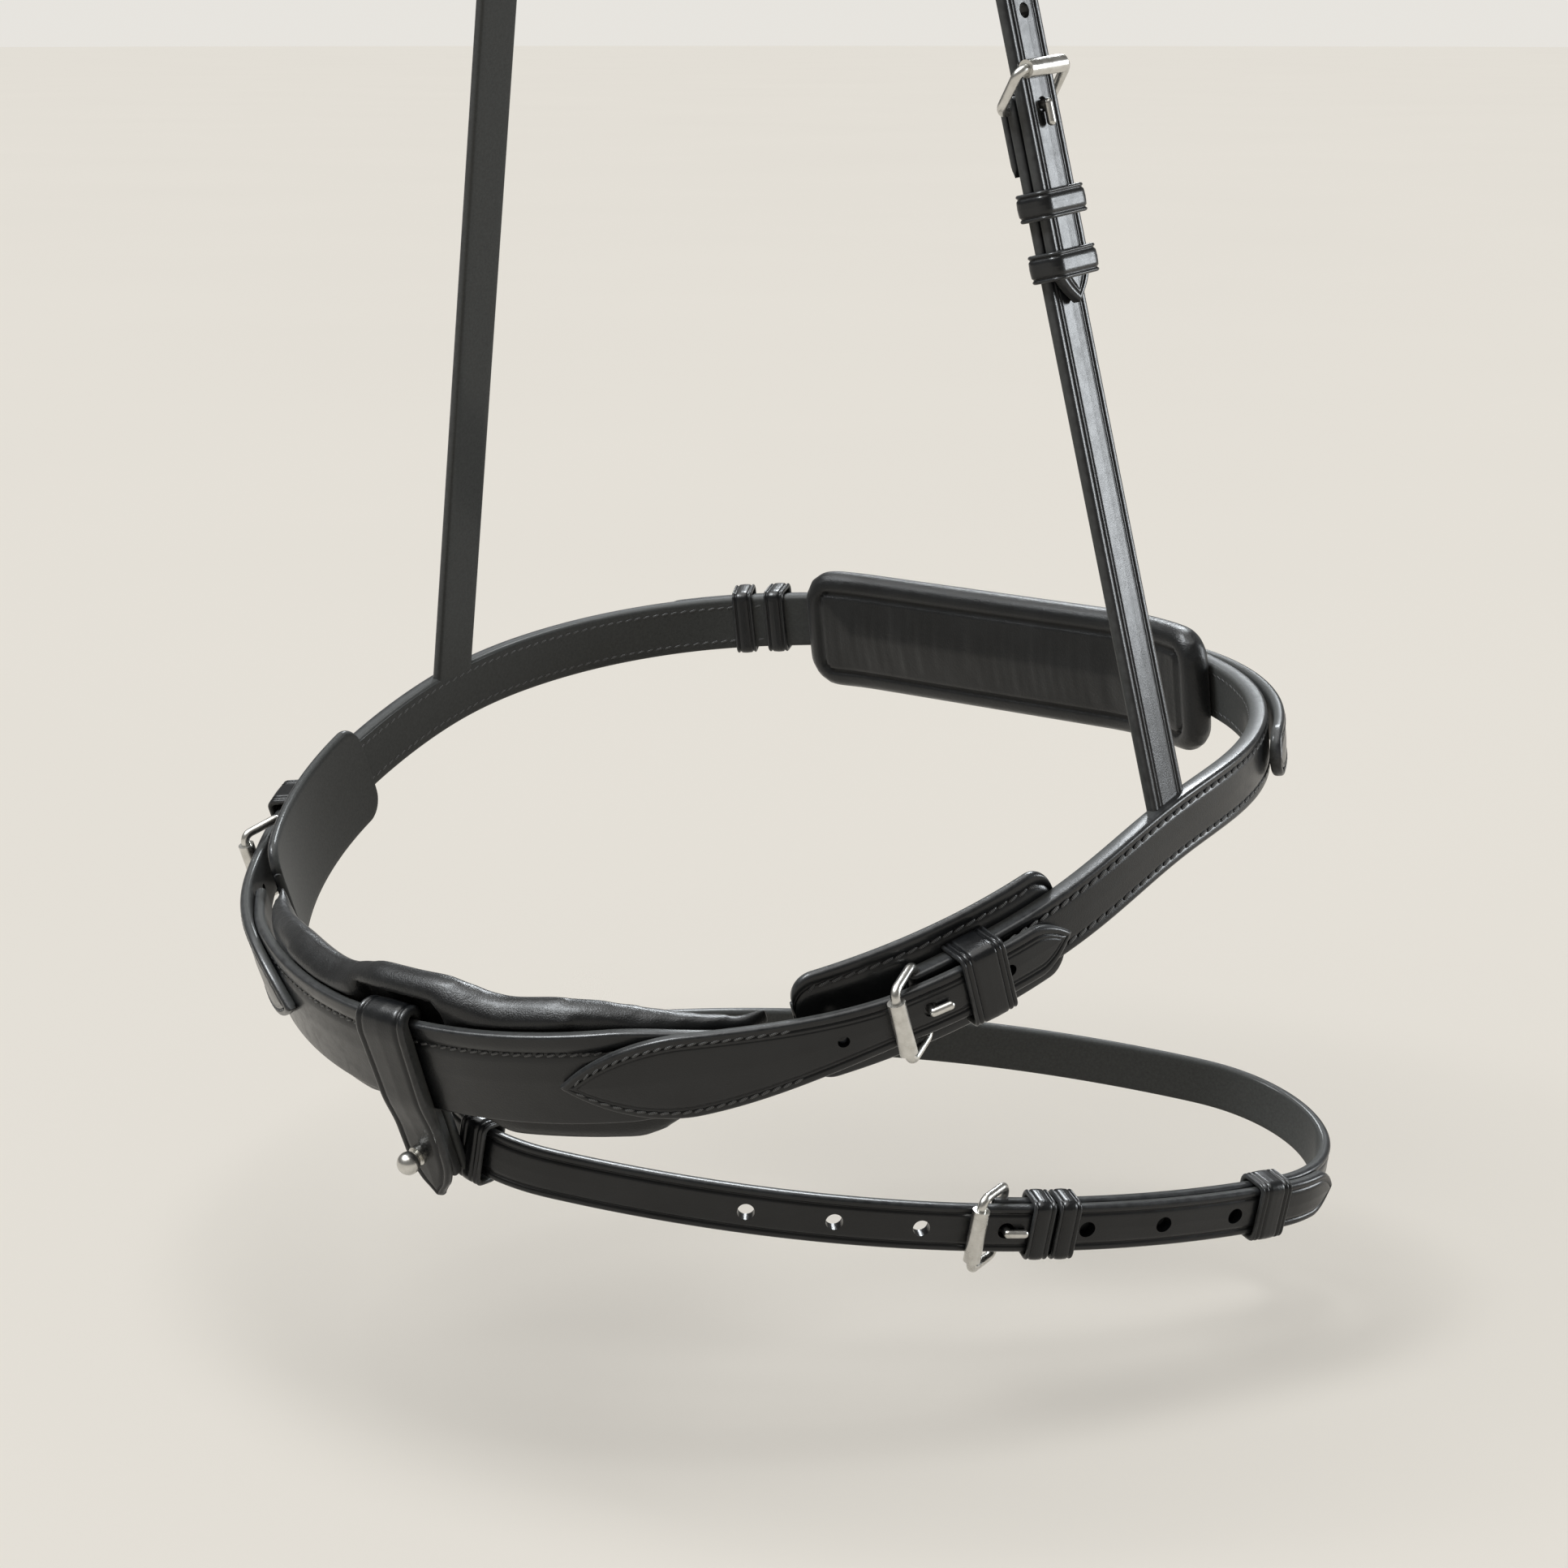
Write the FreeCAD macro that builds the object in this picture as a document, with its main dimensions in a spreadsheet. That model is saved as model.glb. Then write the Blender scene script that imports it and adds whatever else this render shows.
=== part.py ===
"""Black leather flash noseband with its sliphead, built as separate named pieces.

Every piece is modelled about the nose: +X is the horse's near side, -Y the front of the nose and +Z up.
The last step moves all of them so that the underside of the headpiece, over the poll, is the origin.
"""
import FreeCAD
import Part
import math
import os

V = FreeCAD.Vector
doc = FreeCAD.newDocument("Noseband")
sheet = doc.addObject("Spreadsheet::Sheet", "Dims")

# alias, value (millimetres or degrees), meaning
SIZES = [
    ("ring_radius", 128.0, "radius of the nose half of the ring at the inner face of the face band"),
    ("ring_tilt", 20.3, "slope of the nose half of the ring, front down"),
    ("ring_side", 22.0, "straight length of the ring beside the cheek straps"),
    ("rear_radius", 85.0, "radius of the two rear corners of the ring"),
    ("rear_tilt", 8.4, "slope of the rear half of the ring"),
    ("rear_side", 20.0, "straight length of the rear half before its corner"),
    ("leather", 3.0, "thickness of one strap"),
    ("seam", 0.2, "seam between layers that are sewn together"),
    ("fit_gap", 0.3, "gap between leather pieces that move on each other"),
    ("face_width", 26.0, "width of the face band"),
    ("face_half_angle", 46.0, "half the arc of the face band"),
    ("roll_depth", 9.0, "thickness of the nose padding"),
    ("roll_top", 20.0, "height of the nose padding above the middle of the band"),
    ("roll_bottom", 14.0, "depth of the nose padding below the middle of the band"),
    ("roll_half_angle", 45.0, "half the arc of the nose padding"),
    ("band_width", 16.0, "width of the doubled side band"),
    ("band_inner", 2.3, "side band inside the reference radius"),
    ("band_outer", 2.7, "side band outside the reference radius"),
    ("billet_width", 13.4, "width of the nose billets"),
    ("billet_start", 21.0, "angle of the pointed sewn end of a nose billet"),
    ("billet_end", 75.5, "angle of the centre of a nose billet's round tip"),
    ("leaf_width", 23.0, "width of the leaf shaped sewn end"),
    ("leaf_length", 74.0, "length of the leaf shaped sewn end"),
    ("buckle_angle", 60.5, "angle of the pivot bar of a nose buckle"),
    ("guard_width", 30.0, "height of the guard behind a nose buckle"),
    ("guard_thick", 3.0, "thickness of the guard"),
    ("guard_start", 47.0, "angle of the front of the guard"),
    ("guard_end", 80.0, "angle of the back of the guard"),
    ("keeper_start", 64.5, "angle of the front edge of a nose keeper"),
    ("keeper_end", 69.8, "angle of the back edge of a nose keeper"),
    ("keeper_wall", 1.6, "thickness of a keeper"),
    ("pad_height", 38.0, "height of the chin pad"),
    ("pad_depth", 10.0, "thickness of the chin pad"),
    ("pad_width", 148.0, "width of the chin pad over its round corners"),
    ("pad_corner", 10.0, "radius of the chin pad's corners"),
    ("pad_shift", 8.0, "shift of the chin pad to the near side"),
    ("chin_billet_width", 14.0, "width of the chin strap"),
    ("cheek_width", 14.0, "width of the cheek and headpiece straps"),
    ("cheek_slope", 11.84, "inward lean of the cheek straps"),
    ("head_tilt", 4.9, "forward lean of the cheek straps"),
    ("poll_height", 340.0, "height of the centre of the poll arch above the band"),
    ("flash_width", 13.0, "width of the flash strap"),
    ("flash_end_radius", 34.0, "radius of the two ends of the flash loop"),
    ("flash_side_radius", 260.0, "radius of the two long sides of the flash loop"),
    ("flash_half_length", 84.0, "middle of the flash loop to the centre of an end"),
    ("flash_heading", 52.0, "direction of the flash loop, from the near side towards the rear"),
    ("flash_tilt", 9.5, "slope of the flash loop across its length"),
    ("flash_droop", 7.0, "fall of the flash loop along its length"),
    ("wire_radius", 1.2, "radius of the buckle wire"),
    ("corner_radius", 2.4, "bend of the buckle wire"),
    ("pivot_clear", 0.05, "running clearance of rollers and prongs"),
    ("roller_radius", 2.2, "outside radius of a buckle roller"),
    ("roller_length", 14.5, "length of a buckle roller"),
    ("frame_reach", 12.0, "pivot bar to roller bar"),
    ("buckle_play", 2.0, "edge of the side band to the centre of the buckle wire"),
    ("ball_radius", 3.0, "radius of the ball stud"),
]

for row, (alias, value, meaning) in enumerate(SIZES, start=1):
    sheet.set("A%d" % row, meaning)
    sheet.set("B%d" % row, str(value))
    sheet.setAlias("B%d" % row, alias)
doc.recompute()


def size(alias):
    """The value of one driving dimension."""
    return float(sheet.get(alias))


R0 = size("ring_radius")
R1 = size("rear_radius")
LEATHER = size("leather")
GAP = size("fit_gap")
JUNCTION = R0 + size("ring_side")
TILT = math.radians(size("ring_tilt"))
NODES = {}


def turn(axis, degrees):
    return FreeCAD.Rotation(axis, degrees)


def frame_at(origin, rotation):
    return FreeCAD.Placement(origin, rotation)


# the four planes the straps lie in
HEAD_Y = JUNCTION * math.cos(TILT)
HEAD_Z = JUNCTION * math.sin(TILT)
NOSE = frame_at(V(0, 0, 0), turn(V(1, 0, 0), size("ring_tilt")))
REAR = frame_at(V(0, HEAD_Y, HEAD_Z), turn(V(1, 0, 0), size("rear_tilt")))
HEAD = frame_at(V(0, HEAD_Y, HEAD_Z), turn(V(1, 0, 0), 90.0 + size("head_tilt")))
CHEEK_FOOT = R0 - 1.3
SLOPE = math.radians(size("cheek_slope"))
ARCH_RADIUS = (CHEEK_FOOT - math.tan(SLOPE) * size("poll_height")) * math.cos(SLOPE)
POLL = HEAD.multVec(V(0, size("poll_height") + ARCH_RADIUS, 0))
SHIFT = frame_at(POLL * -1.0, FreeCAD.Rotation())


def bind(obj, rules):
    """Drive the properties of an object from the sheet."""
    for prop, rule in rules.items():
        obj.setExpression(prop, rule.replace("#", "Dims."))
    return obj


def part(kind, name, rules, origin=None, axis=None, degrees=0.0):
    obj = doc.addObject(kind, name)
    bind(obj, rules)
    rotation = turn(axis, degrees) if axis else FreeCAD.Rotation()
    obj.Placement = frame_at(origin or V(0, 0, 0), rotation)
    return obj


def fuse(name, pieces):
    """Join pieces; a single piece is returned as it is."""
    if len(pieces) == 1:
        return pieces[0]
    obj = doc.addObject("Part::MultiFuse", name)
    obj.Shapes = pieces
    return obj


def cut(name, base, tool):
    obj = doc.addObject("Part::Cut", name)
    obj.Base = base
    obj.Tool = tool
    return obj


def common(name, pieces):
    obj = doc.addObject("Part::MultiCommon", name)
    obj.Shapes = pieces
    return obj


def node(label, obj, place):
    """Keep an object as one finished piece of the part."""
    obj.Label = label
    obj.Placement = SHIFT.multiply(place).multiply(obj.Placement)
    NODES[label] = obj
    return obj


def sector(name, inner, outer, low, high, start, end, centre):
    """A curved strip: the part of a tube between two angles, from height low to height high."""
    wide = part("Part::Cylinder", name + "Outer", {}, centre + V(0, 0, 0))
    bind(wide, {"Radius": outer, "Height": "(%s)-(%s)" % (high, low), "Angle": "(%s)-(%s)" % (end, start)})
    bind(wide, {"Placement.Base.z": low, "Placement.Rotation.Angle": start})
    bore = part("Part::Cylinder", name + "Inner", {}, centre)
    bind(bore, {"Radius": inner, "Height": "(%s)-(%s)+2" % (high, low), "Placement.Base.z": "(%s)-1" % low})
    return cut(name, wide, bore)


def tube(name, inner, outer, low, high, centre):
    """A whole ring of the same section."""
    wide = part("Part::Cylinder", name + "Outer", {"Radius": outer}, centre)
    bind(wide, {"Height": "(%s)-(%s)" % (high, low), "Placement.Base.z": low})
    bore = part("Part::Cylinder", name + "Inner", {"Radius": inner}, centre)
    bind(bore, {"Height": "(%s)-(%s)+2" % (high, low), "Placement.Base.z": "(%s)-1" % low})
    return cut(name, wide, bore)


def box(name, length, width, height, corner, rotation=None):
    obj = doc.addObject("Part::Box", name)
    bind(obj, {"Length": length, "Width": width, "Height": height})
    obj.Placement = frame_at(corner, rotation or FreeCAD.Rotation())
    return obj


def spoke(name, radius, centre, angle, reach):
    """A round plug lying along a radius of a ring, for round strap ends and holes."""
    obj = doc.addObject("Part::Cylinder", name)
    bind(obj, {"Radius": radius})
    obj.Height = reach
    direction = V(math.cos(math.radians(angle)), math.sin(math.radians(angle)), 0)
    obj.Placement = frame_at(centre, FreeCAD.Rotation(V(0, 0, 1), direction))
    return obj


def polar(centre, radius, angle, height=0.0):
    a = math.radians(angle)
    return V(centre.x + radius * math.cos(a), centre.y + radius * math.sin(a), height)


def mirrored(name, source):
    """The other side's copy of a piece, reflected across the middle plane of the head."""
    obj = doc.addObject("Part::Mirroring", name)
    obj.Source = source
    obj.Base = V(0, 0, 0)
    obj.Normal = V(1, 0, 0)
    return obj


NOSE_CENTRE = V(0, R0, 0)
REAR_CENTRE = V(R0 - R1, size("rear_side"), 0)


def seat_on(centre, radius, angle, forward, plane):
    """The frame of a buckle whose pivot bar stands at one angle of a ring: X along the strap, Z outward."""
    a = math.radians(angle)
    outward = V(math.cos(a), math.sin(a), 0)
    along = V(math.sin(a), -math.cos(a), 0) * forward
    return plane.multiply(seat_at(centre + outward * radius, along, outward))


def seat_at(origin, along, outward):
    return frame_at(origin, FreeCAD.Rotation(along, outward.cross(along), outward, "ZXY"))


def chape_cuts(name, seat):
    """The eye for a pivot bar and the open slot for its prong, in the folded end of a strap."""
    eye = part("Part::Cylinder", name + "Eye", {"Radius": "#wire_radius+#fit_gap"})
    eye.Height = 60.0
    eye.Placement = seat.multiply(frame_at(V(0, -30, 0), FreeCAD.Rotation(V(0, 0, 1), V(0, 1, 0))))
    slot = box(name + "Slot", "16", "3.6", "16", V(0, 0, 0))
    slot.Placement = seat.multiply(frame_at(V(-4.0, -1.8, -8.0), FreeCAD.Rotation()))
    return fuse(name + "Cuts", [eye, slot])


# ---------------------------------------------------------------- nosepiece
def build_nosepiece():
    face = sector(
        "Face", "#ring_radius", "#ring_radius+#leather", "-#face_width/2", "#face_width/2",
        "-90-#face_half_angle", "-90+#face_half_angle", NOSE_CENTRE,
    )
    node("nosepiece_face", face, NOSE)
    roll = sector(
        "Roll", "#ring_radius-#roll_depth", "#ring_radius-#seam", "-#roll_bottom", "#roll_top",
        "-90-#roll_half_angle", "-90+#roll_half_angle", NOSE_CENTRE,
    )
    # the roll falls away towards both ends along a wide arc
    crown_radius = 262.0
    crown = part(
        "Part::Cylinder", "RollCrown", {}, V(0, -20, size("roll_top") - crown_radius), V(1, 0, 0), -90.0,
    )
    crown.Radius = crown_radius
    crown.Height = 2.0 * R0
    shaped = common("RollShaped", [roll, crown])
    # room behind the face band for the flash carrier's strap
    recess = box("RollRecess", "19", "20", "80", V(-9.5, -5.0, -40.0))
    pocket = tube(
        "RollPocket", "#ring_radius-#leather-2*#fit_gap", "#ring_radius+5", "-40", "40", NOSE_CENTRE,
    )
    notch = common("RollNotch", [recess, pocket])
    node("nosepiece_padding", cut("RollCut", shaped, notch), NOSE)


def build_nose_billet(side):
    """One nose billet: a leaf shaped sewn end, a plain strap and a round tip."""
    name = "Billet" + side
    inner = "#ring_radius+#leather+#seam"
    outer = "#ring_radius+2*#leather"
    strap = sector(
        name + "Strap", inner, outer, "-#billet_width/2", "#billet_width/2",
        "-90+#billet_start+12", "-90+#billet_end", NOSE_CENTRE,
    )
    shell = tube(name + "Shell", inner, outer, "-20", "20", NOSE_CENTRE)
    tip = common(
        name + "Tip", [
            shell,
            spoke(name + "TipPlug", "#billet_width/2", NOSE_CENTRE, size("billet_end") - 90.0, 160.0),
        ],
    )
    half_length = size("leaf_length") / 2.0
    half_width = size("leaf_width") / 2.0
    bow = (half_length ** 2 + half_width ** 2) / (2.0 * half_width)
    middle = size("billet_start") + math.degrees(half_length / (R0 + LEATHER))
    outward = V(math.cos(math.radians(middle - 90.0)), math.sin(math.radians(middle - 90.0)), 0)
    lobes = []
    for lobe, lift in (("Upper", half_width - bow), ("Lower", bow - half_width)):
        plug = part("Part::Cylinder", name + lobe, {})
        bind(plug, {"Radius": "((#leaf_length/2)^2+(#leaf_width/2)^2)/#leaf_width"})
        plug.Height = 60.0
        start = NOSE_CENTRE + outward * (R0 - 30.0) + V(0, 0, lift)
        plug.Placement = frame_at(start, FreeCAD.Rotation(V(0, 0, 1), outward))
        lobes.append(plug)
    shell_copy = tube(name + "LeafShell", inner, outer, "-20", "20", NOSE_CENTRE)
    leaf = common(name + "Leaf", [shell_copy] + lobes)
    whole = fuse(name + "Whole", [strap, tip, leaf])
    holes = []
    for step in (-2, -1, 0, 1):
        angle = size("buckle_angle") - 90.0 + step * math.degrees(22.0 / (R0 + 4.5))
        holes.append(spoke("%sHole%d" % (name, step + 2), "1.9", NOSE_CENTRE, angle, 160.0))
    return cut(name, whole, fuse(name + "Holes", holes))


def build_side_band(side):
    """The doubled band from a nose buckle, past the cheek strap, to the chin pad."""
    name = "Band" + side
    inner = "#ring_radius-#band_inner"
    outer = "#ring_radius+#band_outer"
    thick = "#band_inner+#band_outer"
    bar_lead = 1.6
    front = sector(
        name + "Front", inner, outer, "-#band_width/2", "#band_width/2",
        "-90+#buckle_angle-%s" % bar_lead, "0.01", NOSE_CENTRE,
    )
    left = R0 - size("band_inner")
    run = box(
        name + "Run", thick, "#ring_side+0.1", "#band_width", V(left, R0 - 0.1, -size("band_width") / 2.0),
    )
    nose_part = fuse(name + "Nose", [front, run])
    seat = seat_on(NOSE_CENTRE, R0 + 0.2, size("buckle_angle") - 90.0, 1.0, FreeCAD.Placement())
    holed = cut(name + "NoseCut", nose_part, chape_cuts(name, seat))
    holed.Placement = NOSE
    rear_run = box(
        name + "RearRun", thick, "#rear_side+6", "#band_width", V(left, -6.0, -size("band_width") / 2.0),
    )
    rear = sector(
        name + "Rear",
        "#rear_radius-#band_inner",
        "#rear_radius+#band_outer",
        "-#band_width/2",
        "#band_width/2",
        "-0.01", "72", REAR_CENTRE,
    )
    rear_part = fuse(name + "RearPart", [rear_run, rear])
    rear_part.Placement = REAR
    return fuse(name, [holed, rear_part])


def build_guard(side):
    name = "Guard" + side
    inner = "#ring_radius-#band_inner-#guard_thick"
    outer = "#ring_radius-#band_inner-#seam"
    shell = sector(
        name + "Shell", inner, outer, "-#guard_width/2", "#guard_width/2",
        "-90+#guard_start", "-90+#guard_end", NOSE_CENTRE,
    )
    middle = (size("guard_start") + size("guard_end")) / 2.0 - 90.0
    chord = 2.0 * R0 * math.sin(math.radians((size("guard_end") - size("guard_start")) / 2.0))
    round_r = 12.0
    turned = turn(V(0, 0, 1), middle)
    start = polar(NOSE_CENTRE, R0 - 30.0, middle)
    half = size("guard_width") / 2.0
    wide = box(name + "Wide", "60", "1", "1", start)
    wide.setExpression("Width", "%.4f" % (chord - 2.0 * round_r))
    wide.setExpression("Height", "Dims.guard_width")
    wide.Placement = frame_at(start + turned.multVec(V(0, -chord / 2.0 + round_r, -half)), turned)
    tall = box(name + "Tall", "60", "1", "1", start)
    tall.setExpression("Width", "%.4f" % chord)
    tall.setExpression("Height", "Dims.guard_width-%.4f" % (2.0 * round_r))
    tall.Placement = frame_at(start + turned.multVec(V(0, -chord / 2.0, -half + round_r)), turned)
    corners = [wide, tall]
    for index, (across, up) in enumerate(((-1, -1), (-1, 1), (1, -1), (1, 1))):
        plug = part("Part::Cylinder", "%sCorner%d" % (name, index), {"Radius": "%.3f" % round_r})
        plug.Height = 60.0
        at = start + turned.multVec(V(0, across * (chord / 2.0 - round_r), up * (half - round_r)))
        plug.Placement = frame_at(at, turned.multiply(turn(V(0, 1, 0), 90.0)))
        corners.append(plug)
    return common(name, [shell, fuse(name + "Outline", corners)])


def build_keeper(name, radius, centre, start, end, width, low, high):
    """A keeper: a staple of leather over a band and the billet on it, from radius low to radius high."""
    outer = sector(
        name + "Body", "%s+%.3f" % (radius, low), "%s+%.3f+#keeper_wall" % (radius, high),
        "-(%s)/2-#fit_gap-#keeper_wall" % width, "(%s)/2+#fit_gap+#keeper_wall" % width, start, end, centre,
    )
    room = tube(
        name + "Room", "%s+%.3f" % (radius, low - 1.0), "%s+%.3f" % (radius, high),
        "-(%s)/2-#fit_gap" % width, "(%s)/2+#fit_gap" % width, centre,
    )
    return cut(name, outer, room)


def build_sides():
    place = {"near": NOSE, "off": NOSE}
    for side in ("near", "off"):
        tag = side.capitalize()
        pieces = {
            "nose_billet_" + side: (build_nose_billet(tag), place[side]),
            "side_band_" + side: (build_side_band(tag), FreeCAD.Placement()),
            "buckle_guard_" + side: (build_guard(tag), place[side]),
            "nose_keeper_" + side: (
                build_keeper(
                    "Keeper" + tag, "#ring_radius", NOSE_CENTRE, "-90+#keeper_start", "-90+#keeper_end",
                    "#band_width", -size("band_inner"), 2.0 * LEATHER + GAP,
                ),
                place[side],
            ),
        }
        for label, (obj, frame) in pieces.items():
            if side == "off":
                obj = mirrored("Off" + label.replace("_", ""), obj)
            node(label, obj, frame)


# ---------------------------------------------------------------- buckles
def wire_frame(name):
    """A rectangular wire loop in the local XY plane: pivot bar on Y at X=0, roller bar at X=reach."""
    reach = size("frame_reach")
    half = size("band_width") / 2.0 + size("buckle_play")
    bend = size("corner_radius")
    pieces = []
    bars = (
        ("Pivot", V(0, -half + bend, 0), V(0, 1, 0), "#band_width+2*#buckle_play-2*#corner_radius"),
        ("Front", V(reach, -half + bend, 0), V(0, 1, 0), "#band_width+2*#buckle_play-2*#corner_radius"),
        ("ArmA", V(bend, -half, 0), V(1, 0, 0), "#frame_reach-2*#corner_radius"),
        ("ArmB", V(bend, half, 0), V(1, 0, 0), "#frame_reach-2*#corner_radius"),
    )
    for tag, start, direction, length in bars:
        rod = part("Part::Cylinder", name + tag, {"Radius": "#wire_radius", "Height": length})
        rod.Placement = frame_at(start, FreeCAD.Rotation(V(0, 0, 1), direction))
        pieces.append(rod)
    corners = (
        (V(bend, -half + bend, 0), 180.0), (V(reach - bend, -half + bend, 0), 270.0),
        (V(reach - bend, half - bend, 0), 0.0), (V(bend, half - bend, 0), 90.0),
    )
    for index, (at, start_angle) in enumerate(corners):
        bent = doc.addObject("Part::Torus", "%sBend%d" % (name, index))
        bind(bent, {"Radius1": "#corner_radius", "Radius2": "#wire_radius"})
        bent.Angle3 = 90.0
        bent.Placement = frame_at(at, turn(V(0, 0, 1), start_angle))
        pieces.append(bent)
    return fuse(name, pieces)


def roller_tube(name):
    """A plain tube on the roller bar."""
    reach = size("frame_reach")
    at = V(reach, -size("roller_length") / 2.0, 0)
    outer = part("Part::Cylinder", name + "Outer", {"Radius": "#roller_radius", "Height": "#roller_length"})
    outer.Placement = frame_at(at, FreeCAD.Rotation(V(0, 0, 1), V(0, 1, 0)))
    inner = part("Part::Cylinder", name + "Inner", {"Radius": "#wire_radius+#pivot_clear"})
    inner.Height = 40.0
    inner.Placement = frame_at(at - V(0, 10, 0), FreeCAD.Rotation(V(0, 0, 1), V(0, 1, 0)))
    return cut(name, outer, inner)


def hook_prong(name, rise):
    """A prong: an eye on the pivot bar, a post up local Z and a short round nose away from the roller."""
    width = 2.8
    eye = part("Part::Cylinder", name + "Eye", {"Radius": "#wire_radius+#pivot_clear+0.95"})
    eye.Height = width
    eye.Placement = frame_at(V(0, -width / 2.0, 0), FreeCAD.Rotation(V(0, 0, 1), V(0, 1, 0)))
    post = part("Part::Cylinder", name + "Post", {}, V(0, 0, 0))
    post.Radius = 1.1
    post.Height = rise
    elbow = doc.addObject("Part::Sphere", name + "Elbow")
    elbow.Radius = 1.1
    elbow.Placement.Base = V(0, 0, rise)
    nose = part("Part::Cylinder", name + "Nose", {}, V(0, 0, rise), V(0, 1, 0), -90.0)
    nose.Radius = 1.1
    nose.Height = 4.4
    bead = doc.addObject("Part::Sphere", name + "Bead")
    bead.Radius = 1.1
    bead.Placement.Base = V(-4.4, 0, rise)
    solid = fuse(name + "Solid", [eye, post, elbow, nose, bead])
    bore = part("Part::Cylinder", name + "Bore", {"Radius": "#wire_radius+#pivot_clear"})
    bore.Height = 10.0
    bore.Placement = frame_at(V(0, -5, 0), FreeCAD.Rotation(V(0, 0, 1), V(0, 1, 0)))
    return cut(name, solid, bore)


BUCKLES = {}


def buckle(label, seat, lift, rise):
    """Frame, roller and prong of one buckle; seat is its own frame, lift is how far the frame stands off."""
    name = "".join(word.capitalize() for word in label.split("_"))
    BUCKLES[label] = seat
    swung = seat.multiply(frame_at(V(0, 0, 0), turn(V(0, 1, 0), -lift)))
    node(label + "_frame", wire_frame(name + "Frame"), swung)
    node(label + "_roller", roller_tube(name + "Roller"), swung)
    node(label + "_prong", hook_prong(name + "Prong", rise), seat)


def lift_for(over):
    """Swing that holds the roller just clear of a billet whose outer face is this far outside the bar."""
    rise = over + GAP + size("roller_radius")
    return math.degrees(math.asin(rise / size("frame_reach")))


def build_buckles():
    angle = size("buckle_angle") - 90.0
    over = 2.0 * LEATHER - 0.2
    near = seat_on(NOSE_CENTRE, R0 + 0.2, angle, 1.0, NOSE)
    off = seat_on(NOSE_CENTRE, R0 + 0.2, -180.0 - angle, -1.0, NOSE)
    buckle("near_nose_buckle", near, lift_for(over), over + 1.6)
    buckle("off_nose_buckle", off, lift_for(over), over + 1.6)




# ---------------------------------------------------------------- chin
def rear_point(x, outset):
    """A point on the straight back of the ring, this far outside its reference line."""
    return V(x, size("rear_side") + R1 + outset, 0)


def rear_sector(name, low, high, width, start, end):
    half = "(%s)/2" % width
    return sector(
        name,
        "#rear_radius+%.3f" % low,
        "#rear_radius+%.3f" % high,
        "-" + half,
        half,
        start,
        end,
        REAR_CENTRE,
    )


def rear_box(name, left, right, low, high, width):
    """A straight piece across the back, from x=left to x=right and from offset low to high."""
    corner = rear_point(left, low) - V(0, 0, size(width) / 2.0)
    return box(name, "%.4f" % (right - left), "%.4f" % (high - low), "#" + width, corner)


CHIN_BAR = -14.0


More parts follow.
